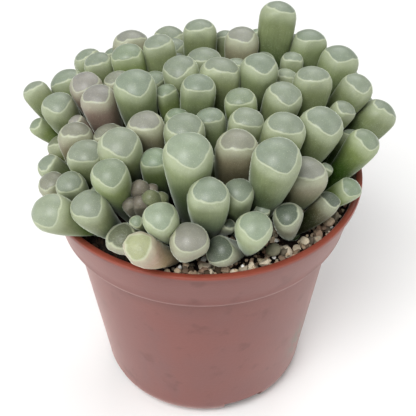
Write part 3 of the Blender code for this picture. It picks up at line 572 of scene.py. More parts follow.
def make_pot_material(groups):
    """Thin terracotta-coloured plastic: clean at the lip and inside, dusty and scuffed outside."""
    material, tree, shader = new_material(
        "pot_plastic", Specular_IOR_Level=0.45, Sheen_Weight=0.45, Sheen_Roughness=0.35,
        Sheen_Tint=shade_of(240, 214, 208), Subsurface_Weight=0.08,
        Subsurface_Radius=(1.0, 0.35, 0.25), Subsurface_Scale=0.0015)
    place = put(tree, "TexCoord", 0, 0).outputs["Object"]
    dusty = own(tree, "dusty", 0, 1).outputs["Fac"]
    mottle = use_group(tree, groups["mottle"], 1, 0, Vector=place, Patch=46.0, Speck=900.0, Depth=0.10)
    smears = noise_of(tree, feed(tree, put(tree, "Mapping", 1, 2), Vector=place, Rotation=(0.5, 0.3, 0.0),
                                 Scale=(1.0, 1.0, 0.25)).outputs[0], 70.0, 5.0, 2, 2)
    scuffs = step_of(tree, smears, 0.56, 0.70, 3, 2)
    haze = step_of(tree, noise_of(tree, place, 62.0, 5.0, 2, 3), 0.36, 0.64, 3, 3)
    blots = step_of(tree, noise_of(tree, place, 150.0, 6.0, 2, 4), 0.57, 0.72, 3, 4)
    bloom = sums(tree, "MULTIPLY", dusty, sums(tree, "ADD", sums(
        tree, "MULTIPLY", haze, 0.18, 4, 3), 0.68, 5, 3), 6, 2)
    worn = sums(tree, "ADD", bloom, sums(tree, "MULTIPLY", sums(
        tree, "MULTIPLY", scuffs, dusty, 4, 2), 0.34, 5, 2), 7, 2)
    base = blend_of(tree, worn, shade_of(138, 66, 50), shade_of(122, 78, 74), 8, 1)
    smear = put(tree, "VectorMath", 4, 5, operation="DISTANCE")
    squat = feed(tree, put(tree, "Mapping", 3, 5), Vector=place, Scale=(1.0, 1.0, 0.55))
    feed(tree, smear, n0=squat.outputs[0], n1=(0.0280, -0.0165, 0.0115))
    near = sums(tree, "SUBTRACT", 1.0, step_of(tree, smear.outputs["Value"], 0.001, 0.0075, 5, 5), 6, 5)
    flecks = step_of(tree, noise_of(tree, place, 520.0, 5.0, 5, 6), 0.36, 0.58, 6, 6)
    dirt = sums(tree, "MULTIPLY", sums(tree, "MULTIPLY", near, flecks, 7, 5), 0.9, 8, 5)
    marked = blend_of(tree, sums(tree, "MULTIPLY", sums(tree, "MULTIPLY", blots, dusty, 8, 4), 0.5, 9, 5),
                      base, shade_of(100, 54, 46), 10, 4)
    soiled = blend_of(tree, dirt, marked, shade_of(92, 96, 80), 9, 3)
    toned = use_group(tree, groups["toned"], 10, 1, Colour=soiled, Lightness=mottle.outputs["Lightness"])
    rough = sums(tree, "ADD", sums(tree, "MULTIPLY", worn, 0.14, 9, 2), 0.36, 10, 2)
    grain = noise_of(tree, place, 1500.0, 2.0, 9, 4)
    feed(tree, shader, Base_Color=toned.outputs[0], Roughness=rough,
         Normal=bump_of(tree, sums(tree, "ADD", grain, smears, 10, 4), 0.00006, 0.5, 11, 4))
    return material


def make_crumb_material(groups, name, roughness, depth):
    """Earth, grit or stone, whose grains each carry their own colour."""
    material, tree, shader = new_material(name, Specular_IOR_Level=0.3)
    place = put(tree, "TexCoord", 0, 0).outputs["Object"]
    tint = own(tree, "grain_tint", 0, 1).outputs["Color"]
    mottle = use_group(tree, groups["mottle"], 1, 0, Vector=place, Patch=420.0, Speck=2400.0, Depth=depth)
    toned = use_group(tree, groups["toned"], 2, 0, Colour=tint, Lightness=mottle.outputs["Lightness"])
    height = noise_of(tree, place, 1700.0, 4.0, 1, 2)
    feed(tree, shader, Base_Color=toned.outputs[0],
         Roughness=sums(tree, "ADD", sums(
             tree, "MULTIPLY", mottle.outputs["Specks"], -0.1, 3, 1), roughness, 4, 1),
         Normal=bump_of(tree, height, 0.00025, 0.6, 3, 2))
    return material


def make_soil_material(groups):
    """Damp dark peat with brown fibres in it."""
    material, tree, shader = new_material("potting_mix", Specular_IOR_Level=0.25)
    place = put(tree, "TexCoord", 0, 0).outputs["Object"]
    mottle = use_group(tree, groups["mottle"], 1, 0, Vector=place, Patch=240.0, Speck=1500.0, Depth=0.5)
    fibres = feed(tree, put(tree, "Mapping", 1, 2), Vector=place,
                  Rotation=(0.0, 0.0, 0.7), Scale=(1.0, 0.16, 0.4))
    strands = step_of(tree, noise_of(tree, fibres.outputs[0], 900.0, 2.0, 2, 2), 0.60, 0.70, 3, 2)
    earth = use_group(tree, groups["toned"], 2, 0, Colour=shade_of(40, 31, 26),
                      Lightness=mottle.outputs["Lightness"])
    feed(tree, shader, Roughness=0.92,
         Base_Color=blend_of(tree, sums(tree, "MULTIPLY", strands, 0.5, 4, 2), earth.outputs[0],
                             shade_of(92, 68, 50), 5, 0),
         Normal=bump_of(tree, noise_of(tree, place, 1100.0, 5.0, 2, 3), 0.0006, 0.8, 3, 3))
    return material


# ---- Modelling helpers ----------------------------------------------------------------------

def start_clean():
    """Leaves object mode with nothing selected, so that the next operator acts on one piece."""
    if bpy.context.object and bpy.context.object.mode != "OBJECT":
        bpy.ops.object.mode_set(mode="OBJECT")
    bpy.ops.object.select_all(action="DESELECT")


def edit_all(piece):
    """Edit mode on one piece with the whole of it selected."""
    start_clean()
    bpy.context.view_layer.objects.active = piece
    piece.select_set(True)
    bpy.ops.object.mode_set(mode="EDIT")
    bpy.ops.mesh.select_all(action="SELECT")


def leave_edit(piece, name):
    bpy.ops.object.mode_set(mode="OBJECT")
    piece.name = name
    piece.data.name = name
    return piece


def set_place_in_mesh(piece):
    """Puts the piece's place, turn and size into its mesh."""
    start_clean()
    piece.select_set(True)
    bpy.context.view_layer.objects.active = piece
    bpy.ops.object.transform_apply(location=True, rotation=True, scale=True)
    return piece


def raise_outline(outline, sides, name):
    """A closed body turned round Z: a round plate drawn up ring by ring, in millimetres."""
    start_clean()
    radius, height = outline[0]
    bpy.ops.mesh.primitive_circle_add(vertices=sides, radius=radius * MM, fill_type="NGON",
                                      location=(0.0, 0.0, 0.0))
    piece = bpy.context.object
    edit_all(piece)
    bpy.ops.transform.translate(value=(0.0, 0.0, height * MM))
    for next_radius, next_height in outline[1:]:
        rise = (0.0, 0.0, (next_height - height) * MM)
        bpy.ops.mesh.extrude_region_move(TRANSFORM_OT_translate={"value": rise})
        share = next_radius / radius
        bpy.ops.transform.resize(value=(share, share, 1.0),
                                 center_override=(0.0, 0.0, next_height * MM))
        radius, height = next_radius, next_height
    bpy.ops.mesh.select_all(action="SELECT")
    bpy.ops.mesh.normals_make_consistent(inside=False)
    return leave_edit(piece, name)


def apply_all(piece):
    """Applies the piece's modifiers, from the first to the last."""
    start_clean()
    piece.select_set(True)
    bpy.context.view_layer.objects.active = piece
    for modifier in list(piece.modifiers):
        bpy.ops.object.modifier_apply(modifier=modifier.name)


def cut_from(piece, cutter):
    """Cuts one shape out of a piece and removes the cutter."""
    cut = piece.modifiers.new("cut", "BOOLEAN")
    cut.operation = "DIFFERENCE"
    cut.solver = "EXACT"
    cut.object = cutter
    apply_all(piece)
    bpy.data.objects.remove(cutter, do_unlink=True)


def carry(mesh, name, kind, values):
    """Stores one value for each point of a mesh, for its material to read."""
    attribute = mesh.attributes.new(name, kind, "POINT")
    field = {"FLOAT": "value", "FLOAT_VECTOR": "vector", "FLOAT_COLOR": "color"}[kind]
    attribute.data.foreach_set(field, np.asarray(values, np.float32).ravel())


def take_shape(piece):
    """A piece's points, in millimetres, and its faces; the piece is then removed."""
    points = np.array([vertex.co for vertex in piece.data.vertices]) / MM
    faces = [tuple(face.vertices) for face in piece.data.polygons]
    bpy.data.objects.remove(piece, do_unlink=True)
    return points, faces


def join_copies(name, copies, material):
    """One piece from copies of modelled shapes.  A copy is (points, faces, values by name)."""
    points = np.concatenate([copy[0] for copy in copies])
    faces = []
    start = 0
    for copy in copies:
        faces.extend(tuple(corner + start for corner in face) for face in copy[1])
        start += len(copy[0])
    mesh = bpy.data.meshes.new(name)
    mesh.from_pydata((points * MM).tolist(), [], faces)
    for label in copies[0][2]:
        values = np.concatenate([copy[2][label] for copy in copies])
        kind = "FLOAT" if values.ndim == 1 else "FLOAT_VECTOR" if values.shape[1] == 3 else "FLOAT_COLOR"
        carry(mesh, label, kind, values)
    mesh.materials.append(material)
    piece = bpy.data.objects.new(name, mesh)
    bpy.context.scene.collection.objects.link(piece)
    return piece


def hand_in(piece, slot, *nodes):
    """Ties a finished piece to the solid model's root body and hides the nodes it stands for.  The slot is
    not used.
    """
    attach(piece, "root")
    if nodes:
        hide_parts(*nodes)
    return piece


# ---- The pot --------------------------------------------------------------------------------

POT_SIDES = 144


def body_radius(height):
    """The pot body's outer radius at a height, before its foot is rounded."""
    top = POT_HEIGHT - COLLAR_HEIGHT
    return BODY_FOOT_RADIUS + (BODY_TOP_RADIUS - BODY_FOOT_RADIUS) * height / top


def collar_radius(height):
    """The collar's outer radius at a height."""
    foot = POT_HEIGHT - COLLAR_HEIGHT
    share = (height - foot) / (COLLAR_HEIGHT - LIP_HEIGHT)
    return COLLAR_FOOT_RADIUS + (RIM_RADIUS - LIP_OVERHANG - COLLAR_FOOT_RADIUS) * share


def inner_radius(height):
    """The radius of the pot's inner wall at a height."""
    if height >= POT_HEIGHT - COLLAR_HEIGHT + WALL:
        return collar_radius(height) - WALL
    return body_radius(height) - WALL


def outside_outline():
    """The pot's outside, from its foot up to the top of its lip."""
    step = POT_HEIGHT - COLLAR_HEIGHT
    flat = BODY_FOOT_RADIUS - FOOT_ROUNDING * 0.75
    outline = [(NOTCH_INNER - 2.0, 0.0), (flat - 2.0, 0.0), (flat, 0.0)]
    for k in range(1, 10):
        turn = 0.5 * math.pi * k / 9.0
        out = flat + (body_radius(FOOT_ROUNDING) - flat) * math.sin(turn)
        outline.append((out, FOOT_ROUNDING * (1.0 - math.cos(turn))))
    for share in (0.3, 0.55, 0.8, 0.97):
        outline.append((body_radius(step * share), step * share))
    under = step - 0.15
    outline += [(body_radius(under) + 0.25, under), (COLLAR_FOOT_RADIUS - 0.6, step)]
    outline += [(COLLAR_FOOT_RADIUS - 0.1, step + 0.15), (COLLAR_FOOT_RADIUS + 0.12, step + 0.55)]
    outline += [(collar_radius(step + 1.1) + 0.1, step + 1.1), (collar_radius(step + 1.6), step + 1.6)]
    lip = POT_HEIGHT - LIP_HEIGHT
    for share in (0.35, 0.7, 0.95):
        height = step + (lip - step) * share
        outline.append((collar_radius(height), height))
    outline += [(collar_radius(lip) - 0.05, lip - 0.1), (RIM_RADIUS - 0.35, lip + 0.05)]
    outline += [(RIM_RADIUS - 0.06, lip + 0.3), (RIM_RADIUS, lip + 0.7)]
    outline.append((RIM_RADIUS - 0.02, POT_HEIGHT - 0.55))
    outline += [(RIM_RADIUS - 0.14, POT_HEIGHT - 0.2), (RIM_RADIUS - 0.42, POT_HEIGHT - 0.03)]
    return outline


def inside_outline():
    """The pot's inside, from its top edge down to its floor."""
    step = POT_HEIGHT - COLLAR_HEIGHT + WALL
    lip = RIM_RADIUS - LIP_OVERHANG - WALL
    outline = [(lip + 0.75, POT_HEIGHT), (lip + 0.3, POT_HEIGHT - 0.15), (lip + 0.04, POT_HEIGHT - 0.55)]
    outline += [(inner_radius(POT_HEIGHT - 1.2), POT_HEIGHT - 1.2), (inner_radius(step + 0.2), step + 0.2)]
    outline.append((inner_radius(step - 0.8), step - 0.8))
    round_up = FOOT_ROUNDING * 0.7
    side = inner_radius(FLOOR + round_up)
    outline += [(side, FLOOR + round_up), (side - round_up * 0.35, FLOOR + round_up * 0.3)]
    outline += [(side - round_up, FLOOR), (8.0, FLOOR), (3.0, FLOOR)]
    return outline


def notch_cutter(turn):
    """A wedge that opens outwards, for a notch under the foot."""
    start_clean()
    middle = (NOTCH_INNER + RIM_RADIUS) / 2.0
    bpy.ops.mesh.primitive_cube_add(size=1.0, location=(middle * MM, 0.0, (NOTCH_DEPTH / 2.0 - 2.0) * MM))
    cutter = bpy.context.object
    cutter.scale = ((RIM_RADIUS - NOTCH_INNER) * MM, MM, (NOTCH_DEPTH + 4.0) * MM)
    set_place_in_mesh(cutter)
    spread = math.tan(math.radians(NOTCH_WIDTH / 2.0))
    for vertex in cutter.data.vertices:
        vertex.co.y *= 2.0 * vertex.co.x / MM * spread
    cutter.rotation_euler = (0.0, 0.0, turn)
    return set_place_in_mesh(cutter)


def drain_cutter(turn):
    """A round bar through the floor."""
    start_clean()
    place = (DRAIN_REACH * math.cos(turn) * MM, DRAIN_REACH * math.sin(turn) * MM, FLOOR / 2.0 * MM)
    bpy.ops.mesh.primitive_cylinder_add(vertices=32, radius=DRAIN_RADIUS * MM, depth=12.0 * MM,
                                        location=place)
    return set_place_in_mesh(bpy.context.object)


def model_pot(material):
    """The nursery pot, with its rolled lip, stepped collar, notches and drain holes."""
    pot = raise_outline(outside_outline() + inside_outline(), POT_SIDES, "nursery_pot")
    for k in range(NOTCH_COUNT):
        turn = math.radians(NOTCH_TURN + 360.0 * k / NOTCH_COUNT)
        cut_from(pot, notch_cutter(turn))
        cut_from(pot, drain_cutter(turn))
    dusty = []
    for vertex in pot.data.vertices:
        radius = math.hypot(vertex.co.x, vertex.co.y) / MM
        height = vertex.co.z / MM
        outside = radius > inner_radius(height) + 0.5 * WALL or height < FLOOR - 0.1
        dusty.append(1.0 if outside and height < POT_HEIGHT - 0.8 else 0.0)
    carry(pot.data, "dusty", "FLOAT", dusty)
    pot.data.materials.clear()
    pot.data.materials.append(material)
    edit_all(pot)
    bpy.ops.mesh.quads_convert_to_tris()
    leave_edit(pot, "nursery_pot")
    bpy.ops.object.shade_smooth_by_angle(angle=math.radians(32.0))
    return hand_in(pot, "pot_plastic", "pot")


# ---- Soil, grit and stones ------------------------------------------------------------------

def model_soil(material):
    """The potting mix: a filled body whose top is uneven peat."""
    top = soil_top()
    step = POT_HEIGHT - COLLAR_HEIGHT + WALL
    start_clean()
    bpy.ops.mesh.primitive_grid_add(x_subdivisions=170, y_subdivisions=170, size=2.0)
    soil = bpy.context.object
    reach = inner_radius(top) - GAP
    for vertex in soil.data.vertices:
        x, y = vertex.co.x, vertex.co.y
        out = max(abs(x), abs(y))
        length = max(math.hypot(x, y), 1e-9)
        vertex.co.x = x / length * out * reach * MM
        vertex.co.y = y / length * out * reach * MM
        vertex.co.z = top * MM
    edit_all(soil)
    down = [(inner_radius(step + 0.2) - GAP, step + GAP), (inner_radius(step - 0.8) - GAP, step - 0.8 + GAP)]
    round_up = FLOOR + FOOT_ROUNDING * 0.7
    down += [(inner_radius(round_up) - GAP, round_up), (inner_radius(round_up) - 4.0, FLOOR + GAP)]
    radius, height = reach, top
    for next_radius, next_height in down:
        drop = (0.0, 0.0, (next_height - height) * MM)
        bpy.ops.mesh.extrude_region_move(TRANSFORM_OT_translate={"value": drop})
        share = next_radius / radius
        bpy.ops.transform.resize(value=(share, share, 1.0), center_override=(0.0, 0.0, next_height * MM))
        radius, height = next_radius, next_height
    bpy.ops.mesh.dissolve_faces()
    bpy.ops.mesh.select_all(action="SELECT")
    bpy.ops.mesh.normals_make_consistent(inside=False)
    leave_edit(soil, "peat")
    upper = soil.vertex_groups.new(name="upper")
    upper.add([v.index for v in soil.data.vertices if v.co.z > (top - 0.01) * MM
               and math.hypot(v.co.x, v.co.y) < (reach - 0.2) * MM], 1.0, "REPLACE")
    for grain, strength in ((0.0034, 1.5), (0.0011, 0.8)):
        clods = bpy.data.textures.new("clods", "CLOUDS")
        clods.noise_scale = grain
        clods.noise_depth = 2
        heave = soil.modifiers.new("heave", "DISPLACE")
        heave.texture = clods
        heave.texture_coords = "LOCAL"
        heave.direction = "Z"
        heave.vertex_group = "upper"
        heave.mid_level = 0.55
        heave.strength = strength * MM
    apply_all(soil)
    bpy.ops.object.shade_smooth_by_angle(angle=math.radians(50.0))
    soil.data.materials.clear()
    soil.data.materials.append(material)
    return hand_in(soil, "potting_mix", "soil")


def model_grain(number):
    """One angular grain, about 1 across: a ball with flats cut on it."""
    chance = random.Random(40 + number)
    start_clean()
    bpy.ops.mesh.primitive_ico_sphere_add(subdivisions=1 if number % 2 else 2, radius=0.5 * MM)
    grain = bpy.context.object
    edit_all(grain)
    bpy.ops.transform.resize(value=(1.0, chance.uniform(0.68, 0.9), chance.uniform(0.55, 0.8)))
    for flat in range(7):
        way = Vector((chance.uniform(-1, 1), chance.uniform(-1, 1), chance.uniform(-1, 1))).normalized()
        near = Vector((way.x * 0.5, way.y * 0.4, way.z * 0.33)).length
        place = way * (near * chance.uniform(0.42, 0.74)) * MM
        bpy.ops.mesh.select_all(action="SELECT")
        bpy.ops.mesh.bisect(plane_co=place, plane_no=way, use_fill=True, clear_outer=True,
                            threshold=0.00001)
    bpy.ops.mesh.select_all(action="SELECT")
    bpy.ops.mesh.remove_doubles(threshold=0.03 * MM)
    bpy.ops.mesh.normals_make_consistent(inside=False)
    leave_edit(grain, "grain")
    return take_shape(grain)


def spun(points, chance, tip_over=1.0):
    """Points turned at random, about Z freely and about the level axes by a share."""
    a, b, c = (chance.uniform(-math.pi, math.pi) for k in range(3))
    a, b = a * tip_over, b * tip_over
    about_x = np.array([[1, 0, 0], [0, math.cos(a), -math.sin(a)], [0, math.sin(a), math.cos(a)]])
    about_y = np.array([[math.cos(b), 0, math.sin(b)], [0, 1, 0], [-math.sin(b), 0, math.cos(b)]])
    about_z = np.array([[math.cos(c), -math.sin(c), 0], [math.sin(c), math.cos(c), 0], [0, 0, 1]])
    return points @ (about_z @ about_y @ about_x).T


def toe_rows(found):
    """Every toe's axis as level discs: middles and widths near the soil."""
    rows = []
    for toes in found.values():
        for foot, tip, radius, turn in toes:
            spots = axis_points(np.array([foot]), np.array([tip]), np.linspace(0.0, 1.0, 25))[0]
            widths = radius * fullness(np.linspace(0.0, 1.0, 25))
            rows.append(np.column_stack([spots, widths]))
    return np.concatenate(rows)


def scatter(shapes, discs, chance, count, sizes, heights, inside, tints, spacing):
    """Lays grains where there is room, and returns their copies."""
    copies, laid = [], []
    for attempt in range(count * 30):
        if len(copies) >= count:
            break
        angle, radius = inside(chance)
        size = chance.uniform(*sizes)
        x, y = radius * math.cos(angle), radius * math.sin(angle)
        z = chance.uniform(*heights)
        half = 0.5 * size
        if radius + 0.46 * size > inner_radius(z) - 0.1:
            continue
        room = np.hypot(discs[:, 0] - x, discs[:, 1] - y) - discs[:, 3] - half * 0.8
        if np.any((room < 0.0) & (np.abs(discs[:, 2] - z) < half + discs[:, 3] * 0.5)):
            continue
        if any(math.hypot(x - a, y - b) < spacing * (half + other) for a, b, other in laid):
            continue
        laid.append((x, y, half))
        points, faces = shapes[chance.randrange(len(shapes))]
        placed = spun(points * size, chance, 0.35) + np.array([x, y, z])
        tint = np.array(shade_of(*chance.choice(tints)))
        tint[:3] *= chance.uniform(0.86, 1.2)
        copies.append((placed, faces, {"grain_tint": np.tile(tint, (len(placed), 1))}))
    return copies


def in_crescent(chance):
    """A random place on the strip of grit along the front rim."""
    angle = math.radians(chance.uniform(GRIT_FROM, GRIT_TO))
    share = (math.degrees(angle) - GRIT_FROM) / (GRIT_TO - GRIT_FROM)
    inner = 37.0 - 15.0 * math.sin(math.pi * min(1.0, max(0.0, share * 1.15 - 0.08))) ** 1.5
    return angle, chance.uniform(inner, 42.6)


def anywhere(chance):
    return chance.uniform(-math.pi, math.pi), 42.0 * math.sqrt(chance.random())


def model_grit(found, material):
    """Loose grains of grit, with a little white perlite."""
    chance = random.Random(7)
    shapes = [model_grain(number) for number in range(8)]
    discs = toe_rows(found)
    base, top = soil_top(), POT_HEIGHT - GRIT_DROP
    copies = []
    # How many, how wide, between which heights, in which tints, and how far apart.
    for count, sizes, heights, tints, spacing in (
            (110, (3.2, 5.0), (base + 1.0, top - 0.2), GRAIN_TINTS, 0.74),
            (220, (2.6, 4.4), (top - 0.9, top + 0.3), GRAIN_TINTS, 0.76),
            (260, (1.0, 2.1), (top - 1.8, top + 0.1), GRAIN_TINTS, 0.9),
            (16, (1.2, 2.2), (top, top + 0.9), [PERLITE_TINT], 1.5)):
        copies += scatter(shapes, discs, chance, count, sizes, heights, in_crescent, tints, spacing)
    grit = join_copies("grit_grains", copies, material)
    return hand_in(grit, "grit", "grit")


def model_crumbs(found, material):
    """Crumbs of bark and peat over the soil, with a few stray grains."""
    chance = random.Random(11)
    shapes = [model_grain(number) for number in range(4)]
    discs = toe_rows(found)
    base = soil_top()
    copies = []
    for count, sizes, heights, tints, spacing in (
            (420, (0.9, 2.6), (base + 0.1, base + 0.7), BARK_TINTS, 0.7),
            (30, (1.0, 1.8), (base + 0.3, base + 0.8), GRAIN_TINTS, 1.0)):
        copies += scatter(shapes, discs, chance, count, sizes, heights, anywhere, tints, spacing)
    return hand_in(join_copies("peat_crumbs", copies, material), "potting_mix")


STONE_TINTS = {"stone_1": (178, 160, 136), "stone_2": (132, 130, 108), "stone_3": (196, 184, 160),
               "stone_4": (160, 134, 112)}


def model_stone(name, place, material):
    """A loose pebble with knocked corners."""
    x, y, long, wide, tall, turn = place
    chance = random.Random(name)
    start_clean()
    bpy.ops.mesh.primitive_ico_sphere_add(subdivisions=3, radius=0.5)
    stone = bpy.context.object
    edit_all(stone)
    for flat in range(9):
        way = Vector((chance.uniform(-1, 1), chance.uniform(-1, 1), chance.uniform(-1, 1))).normalized()
        bpy.ops.mesh.select_all(action="SELECT")
        bpy.ops.mesh.bisect(plane_co=way * chance.uniform(0.40, 0.455), plane_no=way, use_fill=True,
                            clear_outer=True, threshold=0.0001)
    leave_edit(stone, name + "_pebble")
    stone.scale = (long * MM, wide * MM, tall * MM)
    stone.rotation_euler = (0.0, 0.0, math.radians(turn))
    base = POT_HEIGHT - GRIT_DROP + GRIT_BUMP + GAP - 0.3
    stone.location = (x * MM, y * MM, (base + tall * 0.46) * MM)
    set_place_in_mesh(stone)
    rounded = stone.modifiers.new("worn", "BEVEL")
    rounded.width = 0.12 * MM
    rounded.segments = 2
    rounded.limit_method = "ANGLE"
    rounded.angle_limit = math.radians(20.0)
    apply_all(stone)
    bpy.ops.object.shade_smooth_by_angle(angle=math.radians(35.0))
    tint = shade_of(*STONE_TINTS[name])
    carry(stone.data, "grain_tint", "FLOAT_COLOR", [tint] * len(stone.data.vertices))
    stone.data.materials.clear()
    stone.data.materials.append(material)
    return hand_in(stone, "stone", name)


# ---- The toes -------------------------------------------------------------------------------

TOE_RING = 32
# Where a toe's rings sit: shares of the way from its foot up to the window's line, then of the
# way on from the line to the top of the window.
SIDE_RINGS = (0.0, 0.18, 0.36, 0.52, 0.66, 0.77, 0.85, 0.91, 0.95, 0.975, 0.99, 1.0)
WINDOW_RINGS = (0.05, 0.11, 0.2, 0.32, 0.46, 0.6, 0.75, 0.88, 1.0)
DOME = 0.88
PLUMP = 0.6
BUDS = ("bud", "leaf_bud")
OLD = ("withered", "fallen")
FLAT = 0.78


def fullness(t, shoulder=0.25):
    """How wide a toe is at t, from its foot (0) to its widest place (1), as a share.  The longer
    its shoulder, the longer it stays wide before it draws in."""
    drawn_in = np.hypot(1.0 - np.asarray(t), shoulder) - shoulder
    return 1.0 - 0.61 * drawn_in / (math.hypot(1.0, shoulder) - shoulder)


def model_blank_toe():
    """A plain toe, ring on ring, that every toe is then drawn out of.  Its rings stand one
    apart, so that a point's height is the number of its ring."""
    outline = [(1.0, float(n)) for n in range(len(SIDE_RINGS))]
    last = len(WINDOW_RINGS)
    for n in range(1, last):
        outline.append((math.cos(0.5 * math.pi * n / last), float(n + len(SIDE_RINGS) - 1)))
    blank = raise_outline(outline, TOE_RING, "blank_toe")
    edit_all(blank)
    bpy.ops.mesh.select_all(action="DESELECT")
    bpy.ops.object.mode_set(mode="OBJECT")
    for face in blank.data.polygons:
        face.select = len(face.vertices) > 4 and face.center.z > MM
    bpy.ops.object.mode_set(mode="EDIT")
    bpy.ops.mesh.extrude_region_move(TRANSFORM_OT_translate={"value": (0.0, 0.0, MM)})
    bpy.ops.mesh.merge(type="CENTER")
    leave_edit(blank, "blank_toe")
    points, faces = take_shape(blank)
    rings = np.rint(points[:, 2]).astype(int)
    return rings, np.arctan2(points[:, 0], -points[:, 1]), faces


def line_level(angle, chance):
    """How high the window's line runs at each angle, in toe widths above the widest place."""
    away = np.degrees(np.abs(angle))
    level = chance.uniform(-0.08, 0.08)
    flat = 0.63 + level
    corner = flat - chance.uniform(0.04, 0.14)
    side = 0.52 + 0.5 * level
    keel = 0.42 + level
    line = np.interp(away, [0.0, 36.0, 50.0, 90.0, 130.0, 180.0],
                     [flat, flat, corner, side, side + 0.08, keel])
    line = line + chance.uniform(-0.11, 0.11) * np.sin(angle)
    for waves, size in ((3, 0.010), (7, 0.004), (11, 0.002)):
        line = line + size * chance.uniform(0.3, 1.0) * np.sin(waves * angle + chance.uniform(0, 6.28))
    return np.clip(line, 0.06, 0.78)


def draw_toe(blank, toe, kind, chance):
    """One toe drawn out of the blank: its points, and what its material reads."""
    rings, angle, faces = blank
    foot, tip, radius, turn = toe
    foot, tip = np.array(foot), np.array(tip)
    length = float(np.linalg.norm(tip - foot))
    sides = len(SIDE_RINGS)
    below = rings < sides
    side_share = np.array(SIDE_RINGS)[np.clip(rings, 0, sides - 1)]
    up_share = np.array((0.0,) + WINDOW_RINGS)[np.clip(rings - sides + 1, 0, len(WINDOW_RINGS))]
    line = line_level(angle, chance)
    peak = 1.3 if kind in BUDS else DOME
    # Along the axis, measured from the widest place.
    low = -length + (length + line * radius) * side_share
    start = np.arcsin((line / peak) ** 1.1)
    swing = start + (0.5 * np.pi - start) * up_share
    high = peak * radius * np.sin(swing) ** 0.909
    along = np.where(below, low, high)
    t = np.clip(1.0 + along / length, 0.0, 1.0)
    shoulder = 0.34 + 0.22 * math.cos(math.radians(turn)) + chance.uniform(-0.06, 0.06)
    shoulder = 2.0 if kind in BUDS else shoulder
    dome = np.clip(1.0 - (np.maximum(along, 0.0) / (peak * radius)) ** 2.2, 0.0, 1.0) ** 0.5
    wide = np.where(along < 0.0, fullness(t, shoulder), dome)
    # The window is flatter than a ball would be.
    edge = (1.0 - (line / peak) ** 2.2) ** 0.5
    flatter = np.where(below, 0.0, 0.22 * (1.0 - up_share))
    wide = wide * (1.0 - flatter) + flatter * edge * (1.0 - up_share)
    along = along * (1.0 - flatter) + flatter * radius * (line + (peak - line) * up_share)
    # A flat face in front and a low keel behind.
    body = np.where(along < 0.0, fullness(t, shoulder), 1.0)
    facing = np.cos(angle)
    plane = FLAT * body / np.maximum(facing, 0.05)
    reach = (np.maximum(wide, 1e-3) ** -9.0 + plane ** -9.0) ** (-1.0 / 9.0)
    reach = np.where(facing > 0.05, reach, wide)
    keel = np.exp(-((np.degrees(np.abs(angle)) - 180.0) / 20.0) ** 2)
    reach = reach * (1.0 + 0.045 * keel * np.where(below, side_share, 1.0 - up_share))
    if kind in OLD:
        folds = np.sin(8.0 * angle + 2.0 * np.sin(0.9 * along)) + np.sin(4.2 * along + 3.0 * angle)
        reach = reach * (1.0 + 0.022 * folds * np.where(below, 1.0, 0.35 * (1.0 - up_share)))
    # The line stands a little proud.
    gap = along - line * radius
    reach = reach + (0.06 / radius) * np.exp(-(gap / 0.2) ** 2)
    pole = rings == sides + len(WINDOW_RINGS) - 1
    reach = np.where(pole, 0.0, reach) * radius
    points = bend_to_place(foot, tip, turn, radius, length, along, reach, angle)
    skin = np.column_stack([reach * np.sin(angle), reach * facing, along])
    skin = skin + np.array([chance.uniform(0, 90), chance.uniform(0, 90), chance.uniform(0, 90)])
    if kind in BUDS:
        gap = np.full(len(gap), -9.0)
    values = {"line_gap": gap, "rise": np.where(below, side_share, 1.0), "skin": skin}
    warm = chance.uniform(-0.03, 0.03)
    # The foot colour holds painted shade as well as the leaf's own deeper green.
    for label, tint in zip(("window_tint", "side_tint", "foot_tint"), TINTS[kind]):
        colour = np.array(shade_of(*tint)) * chance.uniform(0.94, 1.06)
        colour[0] *= 1.0 + warm
        values[label] = np.tile(colour, (len(points), 1))
    return points, faces, values


def bend_to_place(foot, tip, turn, radius, length, along, reach, angle):
    """Sets rings out along a toe's bowed axis, and tips the upper ones up towards the light."""
    t = np.clip(1.0 + along / length, 0.0, 1.0)
    middle = axis_points(foot[None, :], tip[None, :], t)[0]
    step = 0.02
    ahead = axis_points(foot[None, :], tip[None, :], np.minimum(t + step, 1.0))[0]
    behind = axis_points(foot[None, :], tip[None, :], np.maximum(np.minimum(t, 1.0) - step, 0.0))[0]
    way = ahead - behind
    way /= np.linalg.norm(way, axis=1)[:, None]
    end = axis_points(foot[None, :], tip[None, :], [1.0 - step, 1.0])[0]
    end = (end[1] - end[0]) / np.linalg.norm(end[1] - end[0])
    top = end + np.array([0.0, 0.0, TIP_LIFT])
    top /= np.linalg.norm(top)
    lift = np.clip(1.0 + along / (1.4 * radius), 0.0, 1.0)[:, None]
    lift = lift * lift * (3.0 - 2.0 * lift)
    way = way * (1.0 - lift) + top * lift
    way /= np.linalg.norm(way, axis=1)[:, None]
    look = np.array([math.sin(math.radians(turn)), -math.cos(math.radians(turn)), 0.0])
    face = look - way * (way @ look)[:, None]
    face /= np.linalg.norm(face, axis=1)[:, None]
    side = np.cross(face, way)
    over = np.maximum(along, 0.0)[:, None]
    around = side * np.sin(angle)[:, None] + face * np.cos(angle)[:, None]
    return middle + top * over + around * reach[:, None]


def model_crown():
    """The low knob that a head's toes grow out of: 1 in radius and 1 tall."""
    outline = [(0.92, 0.0), (1.0, 0.3), (0.95, 0.6), (0.75, 0.85), (0.4, 1.0)]
    return take_shape(raise_outline(outline, 16, "crown"))


